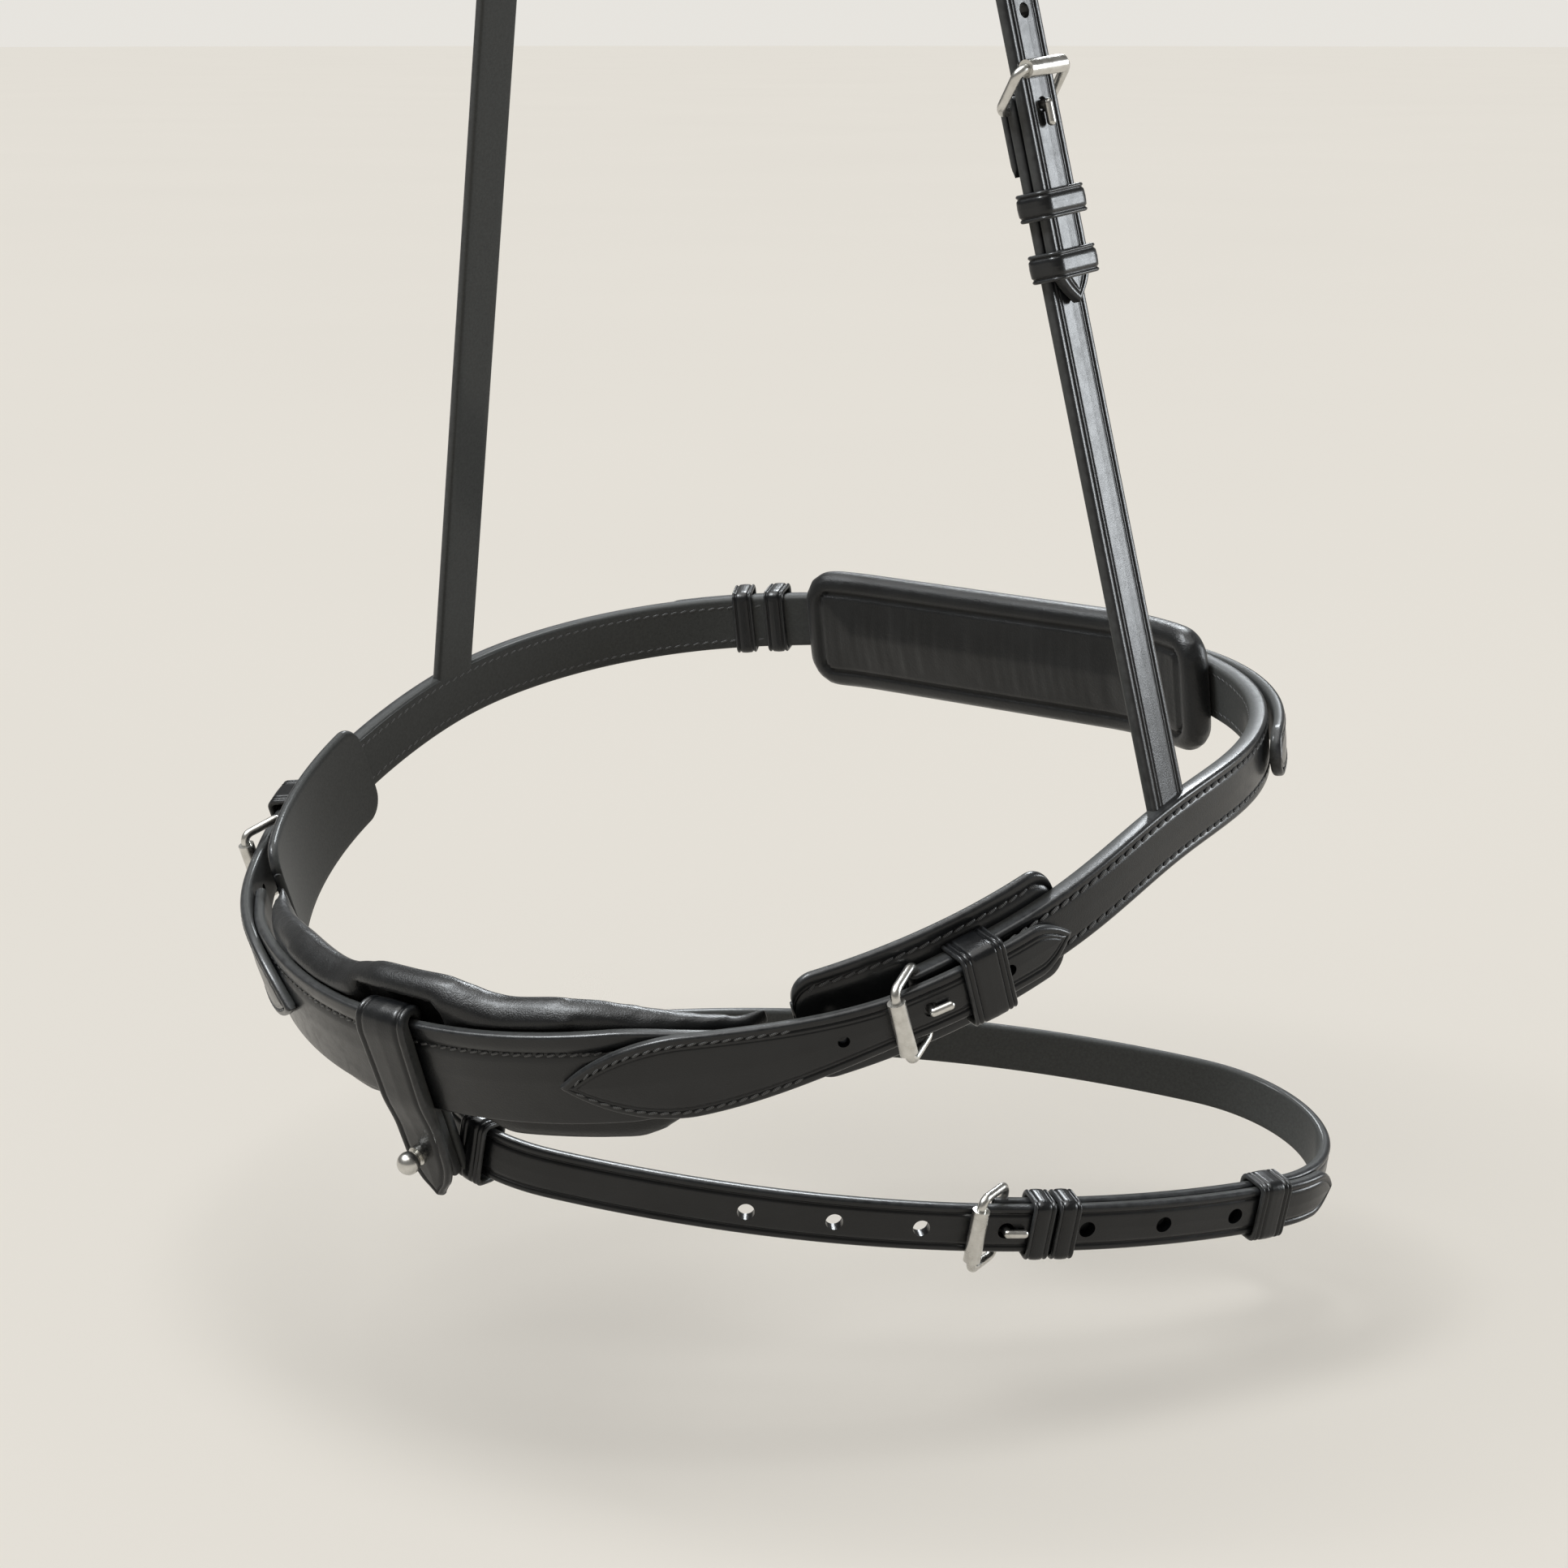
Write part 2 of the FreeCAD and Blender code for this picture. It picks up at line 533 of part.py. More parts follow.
def build_chin():
    corner_x = R0 - R1
    depth = size("pad_depth")
    low = -2.6 - depth
    near = rear_sector("PadNear", low, -2.6, "#pad_height", "46", "90.01")
    far = mirrored("PadFar", rear_sector("PadFarSource", low, -2.6, "#pad_height", "46", "90.01"))
    middle = rear_box("PadMiddle", -corner_x, corner_x, low, -2.6, "pad_height")
    half = size("pad_width") / 2.0
    tall = size("pad_height") / 2.0
    radius = size("pad_corner")
    shift = size("pad_shift")
    outline = [
        box(
            "PadOutlineWide",
            "#pad_width-2*#pad_corner",
            "200",
            "#pad_height",
            V(shift - half + radius, 0, -tall),
        ),
        box(
            "PadOutlineTall",
            "#pad_width",
            "200",
            "#pad_height-2*#pad_corner",
            V(shift - half, 0, radius - tall),
        ),
    ]
    for index, (across, up) in enumerate(((-1, -1), (-1, 1), (1, -1), (1, 1))):
        at = V(shift + across * (half - radius), 0, up * (tall - radius))
        end = part("Part::Cylinder", "PadCorner%d" % index, {"Radius": "#pad_corner"}, at, V(1, 0, 0), -90.0)
        end.Height = 200.0
        outline.append(end)
    pad = common("Pad", [fuse("PadBody", [near, middle, far]), fuse("PadOutline", outline)])
    node("chin_pad", pad, REAR)

    # the strap from the off band, folded round the pivot bar of the chin buckle
    chape_curve = mirrored(
        "ChapeCurve", rear_sector("ChapeCurveSource", -2.3, 2.7, "#band_width", "72", "90.01"),
    )
    chape_run = rear_box("ChapeRun", -corner_x - 0.02, CHIN_BAR + 3.6, -2.3, 2.7, "band_width")
    seat = seat_at(rear_point(CHIN_BAR, 0.2), V(1, 0, 0), V(0, 1, 0))
    chape = cut("ChapeHoled", fuse("ChapeWhole", [chape_curve, chape_run]), chape_cuts("Chape", seat))
    node("chin_chape", chape, REAR)

    # the strap sewn on the near band, through the buckle and down the off band
    low = LEATHER
    high = 2.0 * LEATHER
    near_curve = rear_sector("ChinNear", low, high, "#chin_billet_width", "26", "90.01")
    run = rear_box("ChinRun", -corner_x, corner_x, low, high, "chin_billet_width")
    off_curve = rear_sector("ChinOff", low, high, "#chin_billet_width", "44", "90.01")
    off_shell = tube(
        "ChinShell", "#rear_radius+%.3f" % low, "#rear_radius+%.3f" % high, "-20", "20", REAR_CENTRE,
    )
    off_tip = common(
        "ChinTip", [off_shell, spoke("ChinTipPlug", "#chin_billet_width/2", REAR_CENTRE, 44.0, 120.0)],
    )
    off_part = mirrored("ChinOffPart", fuse("ChinOffSource", [off_curve, off_tip]))
    near_shell = tube(
        "ChinSewnShell", "#rear_radius+%.3f" % low, "#rear_radius+%.3f" % high, "-20", "20", REAR_CENTRE,
    )
    near_end = common(
        "ChinSewn", [near_shell, spoke("ChinSewnPlug", "#chin_billet_width/2", REAR_CENTRE, 26.0, 120.0)],
    )
    holes = []
    for step in (-1, 0, 1, 2):
        hole = part("Part::Cylinder", "ChinHole%d" % (step + 1), {}, V(0, 0, 0), V(1, 0, 0), -90.0)
        hole.Radius = 1.9
        hole.Height = 40.0
        hole.Placement.Base = V(CHIN_BAR + 22.0 * step, size("rear_side") + R1 - 10.0, 0)
        holes.append(hole)
    billet = cut(
        "ChinBillet",
        fuse("ChinBilletWhole", [near_curve, near_end, run, off_part]),
        fuse("ChinHoles", holes),
    )
    node("chin_billet", billet, REAR)
    over = 2.0 * LEATHER - 0.2
    buckle("chin_buckle", REAR.multiply(seat), lift_for(over), over + 1.6)
    for tag, start, end in (("front", "55", "59"), ("back", "62", "66")):
        keeper = build_keeper(
            "ChinKeeper" + tag.capitalize(), "#rear_radius", REAR_CENTRE, start, end,
            "#band_width", -2.3 - GAP - size("keeper_wall"), high + GAP,
        )
        node("chin_keeper_" + tag, mirrored("ChinKeeperOff" + tag.capitalize(), keeper), REAR)


# ---------------------------------------------------------------- head
LEG_NORMAL = V(math.cos(SLOPE), math.sin(SLOPE), 0)
LEG_UP = V(-math.sin(SLOPE), math.cos(SLOPE), 0)
CHEEK_BAR = 176.0
CHEEK_TIP = 129.0


def leg_point(height, outset):
    """A point on the inner face line of the near cheek strap at this height, moved outward."""
    return V(CHEEK_FOOT - math.tan(SLOPE) * height, height, 0) + LEG_NORMAL * outset


def leg(name, bottom, top, low, high, width="cheek_width"):
    """A straight piece of the near cheek line between two heights and two offsets."""
    length = (top - bottom) / math.cos(SLOPE)
    corner = leg_point(bottom, low) - V(0, 0, size(width) / 2.0)
    return box(
        name,
        "%.4f" % (high - low),
        "%.4f" % length,
        "#" + width,
        corner,
        turn(V(0, 0, 1), size("cheek_slope")),
    )


def leg_loop(name, bottom, top, low, high):
    """A closed leather loop round a stack of straps."""
    wall = size("keeper_wall")
    length = (top - bottom) / math.cos(SLOPE)
    half = size("cheek_width") / 2.0 + GAP
    turned = turn(V(0, 0, 1), size("cheek_slope"))
    outer = box(
        name + "Outer",
        "%.4f+2*#keeper_wall" % (high - low),
        "%.4f" % length,
        "#cheek_width+2*#fit_gap+2*#keeper_wall",
        leg_point(bottom, low - wall) - V(0, 0, half + wall), turned,
    )
    inner = box(
        name + "Inner", "%.4f" % (high - low), "%.4f" % (length + 2.0), "#cheek_width+2*#fit_gap",
        leg_point(bottom, low) - V(0, 0, half) - LEG_UP, turned,
    )
    return cut(name, outer, inner)


def build_head():
    step = LEATHER + GAP
    arch_low = size("poll_height")
    tangent = arch_low + ARCH_RADIUS * math.sin(SLOPE)
    spread = step / math.cos(SLOPE)
    strap = leg("CheekStrap", -2.0, CHEEK_BAR + 3.5, 0.0, LEATHER)
    fold = leg("CheekFold", CHEEK_BAR - 16.0, CHEEK_BAR + 3.5, -2.0, 0.0)
    seat = seat_at(leg_point(CHEEK_BAR, 0.5), LEG_UP, LEG_NORMAL)
    cheek = cut("Cheek", fuse("CheekWhole", [strap, fold]), chape_cuts("Cheek", seat))
    node("cheek_strap_near", cheek, HEAD)

    off_leg = mirrored("HeadOffLeg", leg("HeadOffLegSource", -2.0, tangent + 0.05, 0.0, LEATHER))
    half = "#cheek_width/2"
    radius = "%.4f" % ARCH_RADIUS
    slope = size("cheek_slope")
    off_arch = sector(
        "HeadOffArch",
        radius,
        radius + "+#leather",
        "-" + half,
        half,
        "89.99",
        "%.4f" % (180 - slope),
        V(0, arch_low, 0),
    )
    top = box(
        "HeadTop",
        "%.4f" % spread,
        "#leather",
        "#cheek_width",
        V(0, arch_low + ARCH_RADIUS, -size("cheek_width") / 2.0),
    )
    near_arch = sector(
        "HeadNearArch",
        radius,
        radius + "+#leather",
        "-" + half,
        half,
        "%.4f" % slope,
        "90.01",
        V(spread, arch_low, 0),
    )
    near_leg = leg("HeadNearLeg", CHEEK_TIP, tangent + 0.05, step, step + LEATHER)
    tip_plug = part("Part::Cylinder", "HeadTip", {"Radius": "#cheek_width/2", "Height": "#leather"})
    tip_plug.Placement = frame_at(leg_point(CHEEK_TIP, step), FreeCAD.Rotation(V(0, 0, 1), LEG_NORMAL))
    holes = []
    for index in (-1, 0, 1, 2):
        hole = part("Part::Cylinder", "HeadHole%d" % (index + 1), {"Radius": "1.9"})
        hole.Height = 20.0
        at = leg_point(CHEEK_BAR, -1.0) + LEG_UP * (22.0 * index)
        hole.Placement = frame_at(at, FreeCAD.Rotation(V(0, 0, 1), LEG_NORMAL))
        holes.append(hole)
    solid = fuse("HeadSolid", [off_leg, off_arch, top, near_arch, near_leg, tip_plug])
    node("headpiece_strap", cut("Headpiece", solid, fuse("HeadHoles", holes)), HEAD)
    over = 2.0 * LEATHER + GAP - 0.5
    buckle("cheek_buckle", HEAD.multiply(seat), lift_for(over), over + 1.6)
    stack = 2.0 * LEATHER + 2.0 * GAP
    node(
        "cheek_keeper_upper",
        leg_loop("CheekKeeperUpper", CHEEK_BAR - 26.5, CHEEK_BAR - 19.5, -GAP, stack),
        HEAD,
    )
    node(
        "cheek_keeper_lower",
        leg_loop("CheekKeeperLower", CHEEK_TIP + 6.0, CHEEK_TIP + 13.0, -GAP, stack),
        HEAD,
    )


# ---------------------------------------------------------------- flash
END_R = size("flash_end_radius")
SIDE_R = size("flash_side_radius")
FLASH_C = size("flash_half_length")
FLASH_K = math.sqrt((SIDE_R - END_R) ** 2 - FLASH_C ** 2)
SWEEP = math.degrees(math.asin(FLASH_C / (SIDE_R - END_R)))
STEP = LEATHER + GAP
FRONT_CENTRE = V(0, FLASH_K, 0)
BACK_CENTRE = V(0, -FLASH_K, 0)
RIGHT_CENTRE = V(FLASH_C, 0, 0)
END_SHIFT = STEP / 2.0 / math.cos(math.radians(SWEEP))
LEFT_CENTRE = V(-FLASH_C, -END_SHIFT, 0)
LEFT_R = END_R + STEP / 2.0
CARRIER_ANGLE = -142.0
CARRIER_AT = V(6.6, 6.4, -31.0)
BAR_ANGLE = -86.4
TIP_ANGLE = -90.0 + SWEEP + 22.0


def flash_frame():
    """The plane of the flash loop, set so that its carrier hangs below the face band."""
    rotation = turn(V(0, 0, 1), size("flash_heading"))
    rotation = rotation.multiply(turn(V(0, 1, 0), size("flash_droop")))
    rotation = rotation.multiply(turn(V(1, 0, 0), size("flash_tilt")))
    held = polar(LEFT_CENTRE, LEFT_R + LEATHER / 2.0, CARRIER_ANGLE)
    return frame_at(NOSE.multVec(CARRIER_AT) - rotation.multVec(held), rotation)


FLASH = flash_frame()


def flash_sector(name, radius, low, high, start, end, centre):
    half = "#flash_width/2"
    return sector(
        name, "%.4f" % (radius + low), "%.4f" % (radius + high), "-" + half, half,
        "%.4f" % start, "%.4f" % end, centre,
    )


def flash_loop(name, radius, low, high, middle, width, centre):
    """A closed leather loop round the flash strap, from offset low to high inside it."""
    wall = size("keeper_wall")
    spread = math.degrees(width / 2.0 / (radius + LEATHER))
    outer = sector(
        name + "Outer", "%.4f-#keeper_wall" % (radius + low), "%.4f+#keeper_wall" % (radius + high),
        "-#flash_width/2-#fit_gap-#keeper_wall", "#flash_width/2+#fit_gap+#keeper_wall",
        "%.4f" % (middle - spread), "%.4f" % (middle + spread), centre,
    )
    room = tube(
        name + "Room", "%.4f" % (radius + low), "%.4f" % (radius + high),
        "-#flash_width/2-#fit_gap", "#flash_width/2+#fit_gap", centre,
    )
    return cut(name, outer, room)


def build_flash():
    e = 0.05
    pieces = [
        flash_sector("FlashInner", SIDE_R, 0.0, LEATHER, BAR_ANGLE - 0.75, -90.0 + SWEEP + e, FRONT_CENTRE),
        flash_sector("FlashFold", SIDE_R, -2.0, 0.01, BAR_ANGLE - 0.75, BAR_ANGLE + 0.95, FRONT_CENTRE),
        flash_sector("FlashRight", END_R, 0.0, LEATHER, -90.0 + SWEEP, 90.0 - SWEEP, RIGHT_CENTRE),
        flash_sector("FlashBack", SIDE_R, 0.0, LEATHER, 90.0 - SWEEP - e, 90.0 + SWEEP + 0.3, BACK_CENTRE),
        flash_sector("FlashLeft", LEFT_R, 0.0, LEATHER, 90.0 + SWEEP, 270.0 - SWEEP, LEFT_CENTRE),
        flash_sector(
            "FlashOuter",
            SIDE_R,
            STEP,
            STEP + LEATHER,
            -90.0 - SWEEP - 0.3,
            -90.0 + SWEEP + e,
            FRONT_CENTRE,
        ),
        flash_sector("FlashLap", END_R, STEP, STEP + LEATHER, -90.0 + SWEEP, TIP_ANGLE, RIGHT_CENTRE),
    ]
    tip_shell = tube(
        "FlashTipShell",
        "%.4f" % (END_R + STEP),
        "%.4f" % (END_R + STEP + LEATHER),
        "-20",
        "20",
        RIGHT_CENTRE,
    )
    tip_plug = spoke("FlashTipPlug", "#flash_width/2", RIGHT_CENTRE, TIP_ANGLE, END_R + 30.0)
    pieces.append(common("FlashTip", [tip_shell, tip_plug]))
    seat = seat_on(FRONT_CENTRE, SIDE_R + 0.5, BAR_ANGLE, 1.0, FreeCAD.Placement())
    inner = cut("FlashChape", fuse("FlashChapeWhole", pieces[:2]), chape_cuts("Flash", seat))
    holes = []
    pitch = math.degrees(22.0 / (SIDE_R + STEP))
    for index in range(-3, 4):
        angle = BAR_ANGLE + pitch * index
        at = polar(FRONT_CENTRE, SIDE_R + STEP - 0.2, angle)
        hole = part("Part::Cylinder", "FlashHole%d" % (index + 3), {"Radius": "1.9"})
        hole.Height = 8.0
        hole.Placement = frame_at(at, FreeCAD.Rotation(V(0, 0, 1), polar(V(0, 0, 0), 1.0, angle)))
        holes.append(hole)
    outer = cut("FlashBillet", fuse("FlashBilletWhole", pieces[5:8]), fuse("FlashHoles", holes))
    node("flash_strap", fuse("FlashStrap", [inner, pieces[2], pieces[3], pieces[4], outer]), FLASH)
    over = STEP + LEATHER - 0.5
    buckle("flash_buckle", FLASH.multiply(seat), lift_for(over), over + 1.6)
    stack = STEP + LEATHER + GAP
    for tag, angle in (("a", BAR_ANGLE + 1.95), ("b", BAR_ANGLE + 3.45)):
        node(
            "flash_keeper_" + tag,
            flash_loop("FlashKeeper" + tag.upper(), SIDE_R, -GAP, stack, angle, 6.0, FRONT_CENTRE),
            FLASH,
        )
    slider = flash_loop("FlashSlider", SIDE_R, -GAP, stack, -90.0 + SWEEP - 1.4, 10.0, FRONT_CENTRE)
    node("flash_slider", slider, FLASH)
    carrier = flash_loop("FlashCarrier", LEFT_R, -GAP, LEATHER + GAP, CARRIER_ANGLE, 8.4, LEFT_CENTRE)
    node("flash_carrier", carrier, FLASH)


def polygon_body(label, points, depth):
    """A flat plate: a closed outline on the body's XZ plane, padded towards the front."""
    body = doc.addObject("PartDesign::Body", label)
    plane = [f for f in body.Origin.OriginFeatures if f.Role == "XZ_Plane"][0]
    sketch = body.newObject("Sketcher::SketchObject", label + "Sketch")
    sketch.AttachmentSupport = [(plane, "")]
    sketch.MapMode = "FlatFace"
    for start, end in zip(points, points[1:] + points[:1]):
        sketch.addGeometry(Part.LineSegment(V(start[0], start[1], 0), V(end[0], end[1], 0)))
    pad = body.newObject("PartDesign::Pad", label + "Pad")
    pad.Profile = sketch
    pad.setExpression("Length", depth.replace("#", "Dims."))
    body.Tip = pad
    doc.recompute()
    if body.Shape.BoundBox.YMax > 0.1:
        pad.Reversed = True
        doc.recompute()
    return body


def build_nose_loop():
    """The short strap hung round the face band, with the stud that closes it."""
    thick = 2.5
    face = size("face_width") / 2.0
    top = face + GAP + thick
    front = LEATHER + GAP
    outline = [
        (-10.0, top), (10.0, top), (7.5, 6.0), (5.6, -6.0), (5.6, -30.0), (2.6, -37.0), (0.0, -39.0),
        (-2.6, -37.0), (-5.6, -30.0), (-5.6, -6.0), (-7.5, 6.0),
    ]
    plate = polygon_body("NoseLoopPlate", outline, "2.5")
    plate.Placement = frame_at(V(0, -front, 0), FreeCAD.Rotation())
    back = box("NoseLoopBack", "11", "2.5", "1", V(-5.5, GAP, -34.0))
    back.setExpression("Height", "Dims.face_width/2+Dims.fit_gap+36.5")
    bridge = box("NoseLoopBridge", "11", "2.5", "2.5", V(-5.5, -front - 0.01, face + GAP))
    bridge.setExpression("Width", "Dims.leather+2*Dims.fit_gap+2.5+0.01")
    packing = box("NoseLoopPacking", "11", "1", "20.9", V(-5.5, -front - 0.01, -34.0))
    packing.setExpression("Width", "Dims.leather+2*Dims.fit_gap+0.02")
    whole = fuse("NoseLoop", [plate, back, bridge, packing])
    stud_at = V(-2.2, 0, -27.0)
    hole = part(
        "Part::Cylinder", "NoseLoopHole", {"Radius": "1.5"}, stud_at + V(0, -20, 0), V(1, 0, 0), -90.0,
    )
    hole.Height = 40.0
    node("nose_loop", cut("NoseLoopHoled", whole, hole), NOSE)
    back_face = GAP + thick
    post = part(
        "Part::Cylinder",
        "StudPost",
        {"Radius": "1.5"},
        stud_at + V(0, back_face + 1.0, 0),
        V(1, 0, 0),
        90.0,
    )
    post.Height = back_face + 1.0 + front + thick + 1.4
    ball = doc.addObject("Part::Sphere", "StudBall")
    bind(ball, {"Radius": "#ball_radius"})
    ball.Placement.Base = stud_at + V(0, -front - thick - 1.2 - size("ball_radius") * 0.85, 0)
    neck = part(
        "Part::Cylinder",
        "StudNeck",
        {"Radius": "2.6"},
        stud_at + V(0, -front - thick, 0),
        V(1, 0, 0),
        90.0,
    )
    neck.Height = 0.8
    flange = part(
        "Part::Cylinder",
        "StudFlange",
        {"Radius": "3.1"},
        stud_at + V(0, back_face + 1.0, 0),
        V(1, 0, 0),
        90.0,
    )
    flange.Height = 1.0
    node("ball_stud", fuse("BallStud", [post, ball, neck, flange]), NOSE)


doc.recompute()
build_nosepiece()
build_sides()
build_buckles()
build_chin()
build_head()
build_flash()
build_nose_loop()
doc.recompute()

problems = []
for obj in doc.Objects:
    if "Invalid" in obj.State or "Error" in obj.State:
        problems.append("%s: %s" % (obj.Name, obj.State))
for label, obj in NODES.items():
    shape = obj.Shape
    if shape.isNull() or not shape.isValid():
        problems.append("%s: bad shape" % label)
    elif len(shape.Solids) != 1:
        problems.append("%s: %d solids" % (label, len(shape.Solids)))
if problems:
    raise RuntimeError("; ".join(problems))

os.makedirs("parts", exist_ok=True)
for label, obj in NODES.items():
    obj.Shape.exportStep("parts/%s.step" % label)
print("%d pieces written" % len(NODES))
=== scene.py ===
import math

import bmesh
import bpy
import numpy as np
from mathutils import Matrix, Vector


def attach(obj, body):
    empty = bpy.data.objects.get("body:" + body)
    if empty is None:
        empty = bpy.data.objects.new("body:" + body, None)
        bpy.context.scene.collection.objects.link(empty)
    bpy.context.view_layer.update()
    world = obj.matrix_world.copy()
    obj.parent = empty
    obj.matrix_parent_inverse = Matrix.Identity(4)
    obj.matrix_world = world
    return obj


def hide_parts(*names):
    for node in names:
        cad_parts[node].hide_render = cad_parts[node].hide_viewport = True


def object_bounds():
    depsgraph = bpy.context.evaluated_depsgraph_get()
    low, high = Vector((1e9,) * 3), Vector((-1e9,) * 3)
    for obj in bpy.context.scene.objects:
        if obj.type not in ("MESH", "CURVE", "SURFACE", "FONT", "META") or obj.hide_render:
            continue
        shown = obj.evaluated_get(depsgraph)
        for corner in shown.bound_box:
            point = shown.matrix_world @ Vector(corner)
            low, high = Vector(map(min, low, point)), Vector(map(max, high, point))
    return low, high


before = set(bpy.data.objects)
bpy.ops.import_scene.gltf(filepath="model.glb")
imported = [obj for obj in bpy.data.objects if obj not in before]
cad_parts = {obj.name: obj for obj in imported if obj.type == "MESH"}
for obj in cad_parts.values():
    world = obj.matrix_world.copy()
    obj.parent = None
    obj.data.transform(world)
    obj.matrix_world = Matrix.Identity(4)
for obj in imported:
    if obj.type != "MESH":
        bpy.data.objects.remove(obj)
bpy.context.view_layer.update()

# Lengths are in millimetres until place() puts them into the frame, in metres. Angles are in degrees.
MM = 0.001
SPACING = 1.2  # between the samples of a path
SHARP, MERGE = math.radians(48.0), 1e-7
RING_R, RING_TILT, RING_SIDE = 128.0, 20.3, 22.0
REAR_R, REAR_TILT, REAR_SIDE = 85.0, 8.4, 20.0
LEATHER, GAP = 3.0, 0.3
STEP = LEATHER + GAP  # from one strap to the strap on top of it
FACE_WIDTH, FACE_HALF = 26.0, 46.0
BAND_WIDTH, BAND_IN, BAND_OUT = 16.0, -2.3, 2.7
BILLET_WIDTH, BILLET_START, BILLET_END = 13.4, 21.0, 75.5
LEAF_WIDTH, LEAF_BULGE, LEAF_TAPER = 23.0, 31.0, 50.0
BUCKLE_ANGLE = 60.5
GUARD_WIDTH, GUARD_START, GUARD_END, GUARD_CORNER = 30.0, 47.0, 80.0, 6.5
KEEPER_WALL, KEEPER_CORNER = 1.6, 1.7
CHEEK_WIDTH, CHEEK_SLOPE, HEAD_TILT, POLL_HEIGHT = 14.0, 11.84, 4.9, 340.0
CHEEK_FOOT, CHEEK_BAR, CHEEK_TIP = RING_R - 1.3, 176.0, 129.0
CHIN_BAR, CHIN_WIDTH, CHIN_Y = -14.0, 14.0, REAR_SIDE + REAR_R
FLASH_WIDTH, END_R, SIDE_R, FLASH_HALF = 13.0, 34.0, 260.0, 84.0
FLASH_HEADING, FLASH_TILT, FLASH_DROOP = 52.0, 9.5, 7.0
CARRIER_ANGLE, CARRIER_AT, FLASH_BAR = -142.0, (6.6, 6.4, -31.0), -86.4
HOLE_R, HOLE_PITCH = 1.9, 22.0
THINNEST = 0.3  # width that a pointed or round tip runs down to


# ------------------------------------------------------------------ planes
def turn(axis, degrees):
    """Rotation matrix about one main axis by the right-hand rule."""
    c, s = math.cos(math.radians(degrees)), math.sin(math.radians(degrees))
    if axis == "x":
        return np.array([[1, 0, 0], [0, c, -s], [0, s, c]])
    if axis == "y":
        return np.array([[c, 0, s], [0, 1, 0], [-s, 0, c]])
    return np.array([[c, -s, 0], [s, c, 0], [0, 0, 1.0]])


JUNCTION = RING_R + RING_SIDE
CORNER = turn("x", RING_TILT) @ np.array([0, JUNCTION, 0])
SLOPE = math.radians(CHEEK_SLOPE)
SIN_SLOPE, COS_SLOPE, TAN_SLOPE = math.sin(SLOPE), math.cos(SLOPE), math.tan(SLOPE)
ARCH_R = (CHEEK_FOOT - TAN_SLOPE * POLL_HEIGHT) * COS_SLOPE
NOSE = (np.zeros(3), turn("x", RING_TILT))
REAR = (CORNER, turn("x", REAR_TILT))
HEAD = (CORNER, turn("x", 90.0 + HEAD_TILT))
POLL = CORNER + HEAD[1] @ np.array([0, POLL_HEIGHT + ARCH_R, 0])
LEG_NORMAL = np.array([COS_SLOPE, SIN_SLOPE, 0])
LEG_UP = np.array([-SIN_SLOPE, COS_SLOPE, 0])
NOSE_CENTRE = np.array([0, RING_R, 0])
REAR_CENTRE = np.array([RING_R - REAR_R, REAR_SIDE, 0])
X, Y, Z = np.eye(3)

SWEEP = math.degrees(math.asin(FLASH_HALF / (SIDE_R - END_R)))
FLASH_K = math.sqrt((SIDE_R - END_R) ** 2 - FLASH_HALF ** 2)
FRONT_CENTRE, BACK_CENTRE = np.array([0, FLASH_K, 0]), np.array([0, -FLASH_K, 0])
RIGHT_CENTRE = np.array([FLASH_HALF, 0, 0])
LEFT_CENTRE = np.array([-FLASH_HALF, -STEP / 2 / math.cos(math.radians(SWEEP)), 0])
LEFT_R = END_R + STEP / 2
TIP_ANGLE = -90.0 + SWEEP + 22.0


def polar(centre, radius, degrees):
    a = math.radians(degrees)
    return centre + radius * np.array([math.cos(a), math.sin(a), 0])


def flash_plane():
    """The flash loop's plane: turned, drooped and tilted, with its carrier hung below the face band."""
    r = turn("z", FLASH_HEADING) @ turn("y", FLASH_DROOP) @ turn("x", FLASH_TILT)
    held = polar(LEFT_CENTRE, LEFT_R + LEATHER / 2, CARRIER_ANGLE)
    return NOSE[1] @ np.array(CARRIER_AT) - r @ held, r


FLASH = flash_plane()


def place(plane, points):
    """Points of a plane, in millimetres, to the frame in metres."""
    return (points @ plane[1].T + plane[0] - POLL) * MM


# ------------------------------------------------------------------ paths
# A path is (points, outward normals, width directions), all in the frame, with points in metres.
def arc(plane, centre, radius, start, end):
    """Circle of a plane from one angle to another; the normal points away from the centre."""
    count = max(4, int(abs(math.radians(end - start)) * radius / SPACING) + 1)
    a = np.radians(np.linspace(start, end, count))
    n = np.stack([np.cos(a), np.sin(a), np.zeros(count)], 1)
    return place(plane, centre + radius * n), n @ plane[1].T, np.tile(plane[1] @ Z, (count, 1))


def line(plane, start, end, normal, step=SPACING):
    """Straight run between two points of a plane with one constant normal."""
    start, end, normal = (np.array(v, float) for v in (start, end, normal))
    count = max(3, int(np.linalg.norm(end - start) / step) + 1)
    t = np.linspace(0, 1, count)[:, None]
    n = np.tile(plane[1] @ normal, (count, 1))
    return place(plane, start + t * (end - start)), n, np.tile(plane[1] @ Z, (count, 1))


def unit(v):
    return v / np.linalg.norm(v, axis=-1, keepdims=True)


def gaps(points):
    """Distance from each point to the next."""
    return np.linalg.norm(np.diff(points, axis=0), axis=1)


def distances(points):
    """Distance along a row of points, at each of them."""
    return np.concatenate([[0], np.cumsum(gaps(points))])


def sampled(values, s, t):
    """Rows of values known at distances s, read off at distances t."""
    return np.stack([np.interp(t, s, column) for column in values.T], 1)


def resampled(path, s, t):
    """A path known at distances s, read off at distances t."""
    p, n, b = (sampled(v, s, t) for v in path)
    return p, unit(n), unit(b)


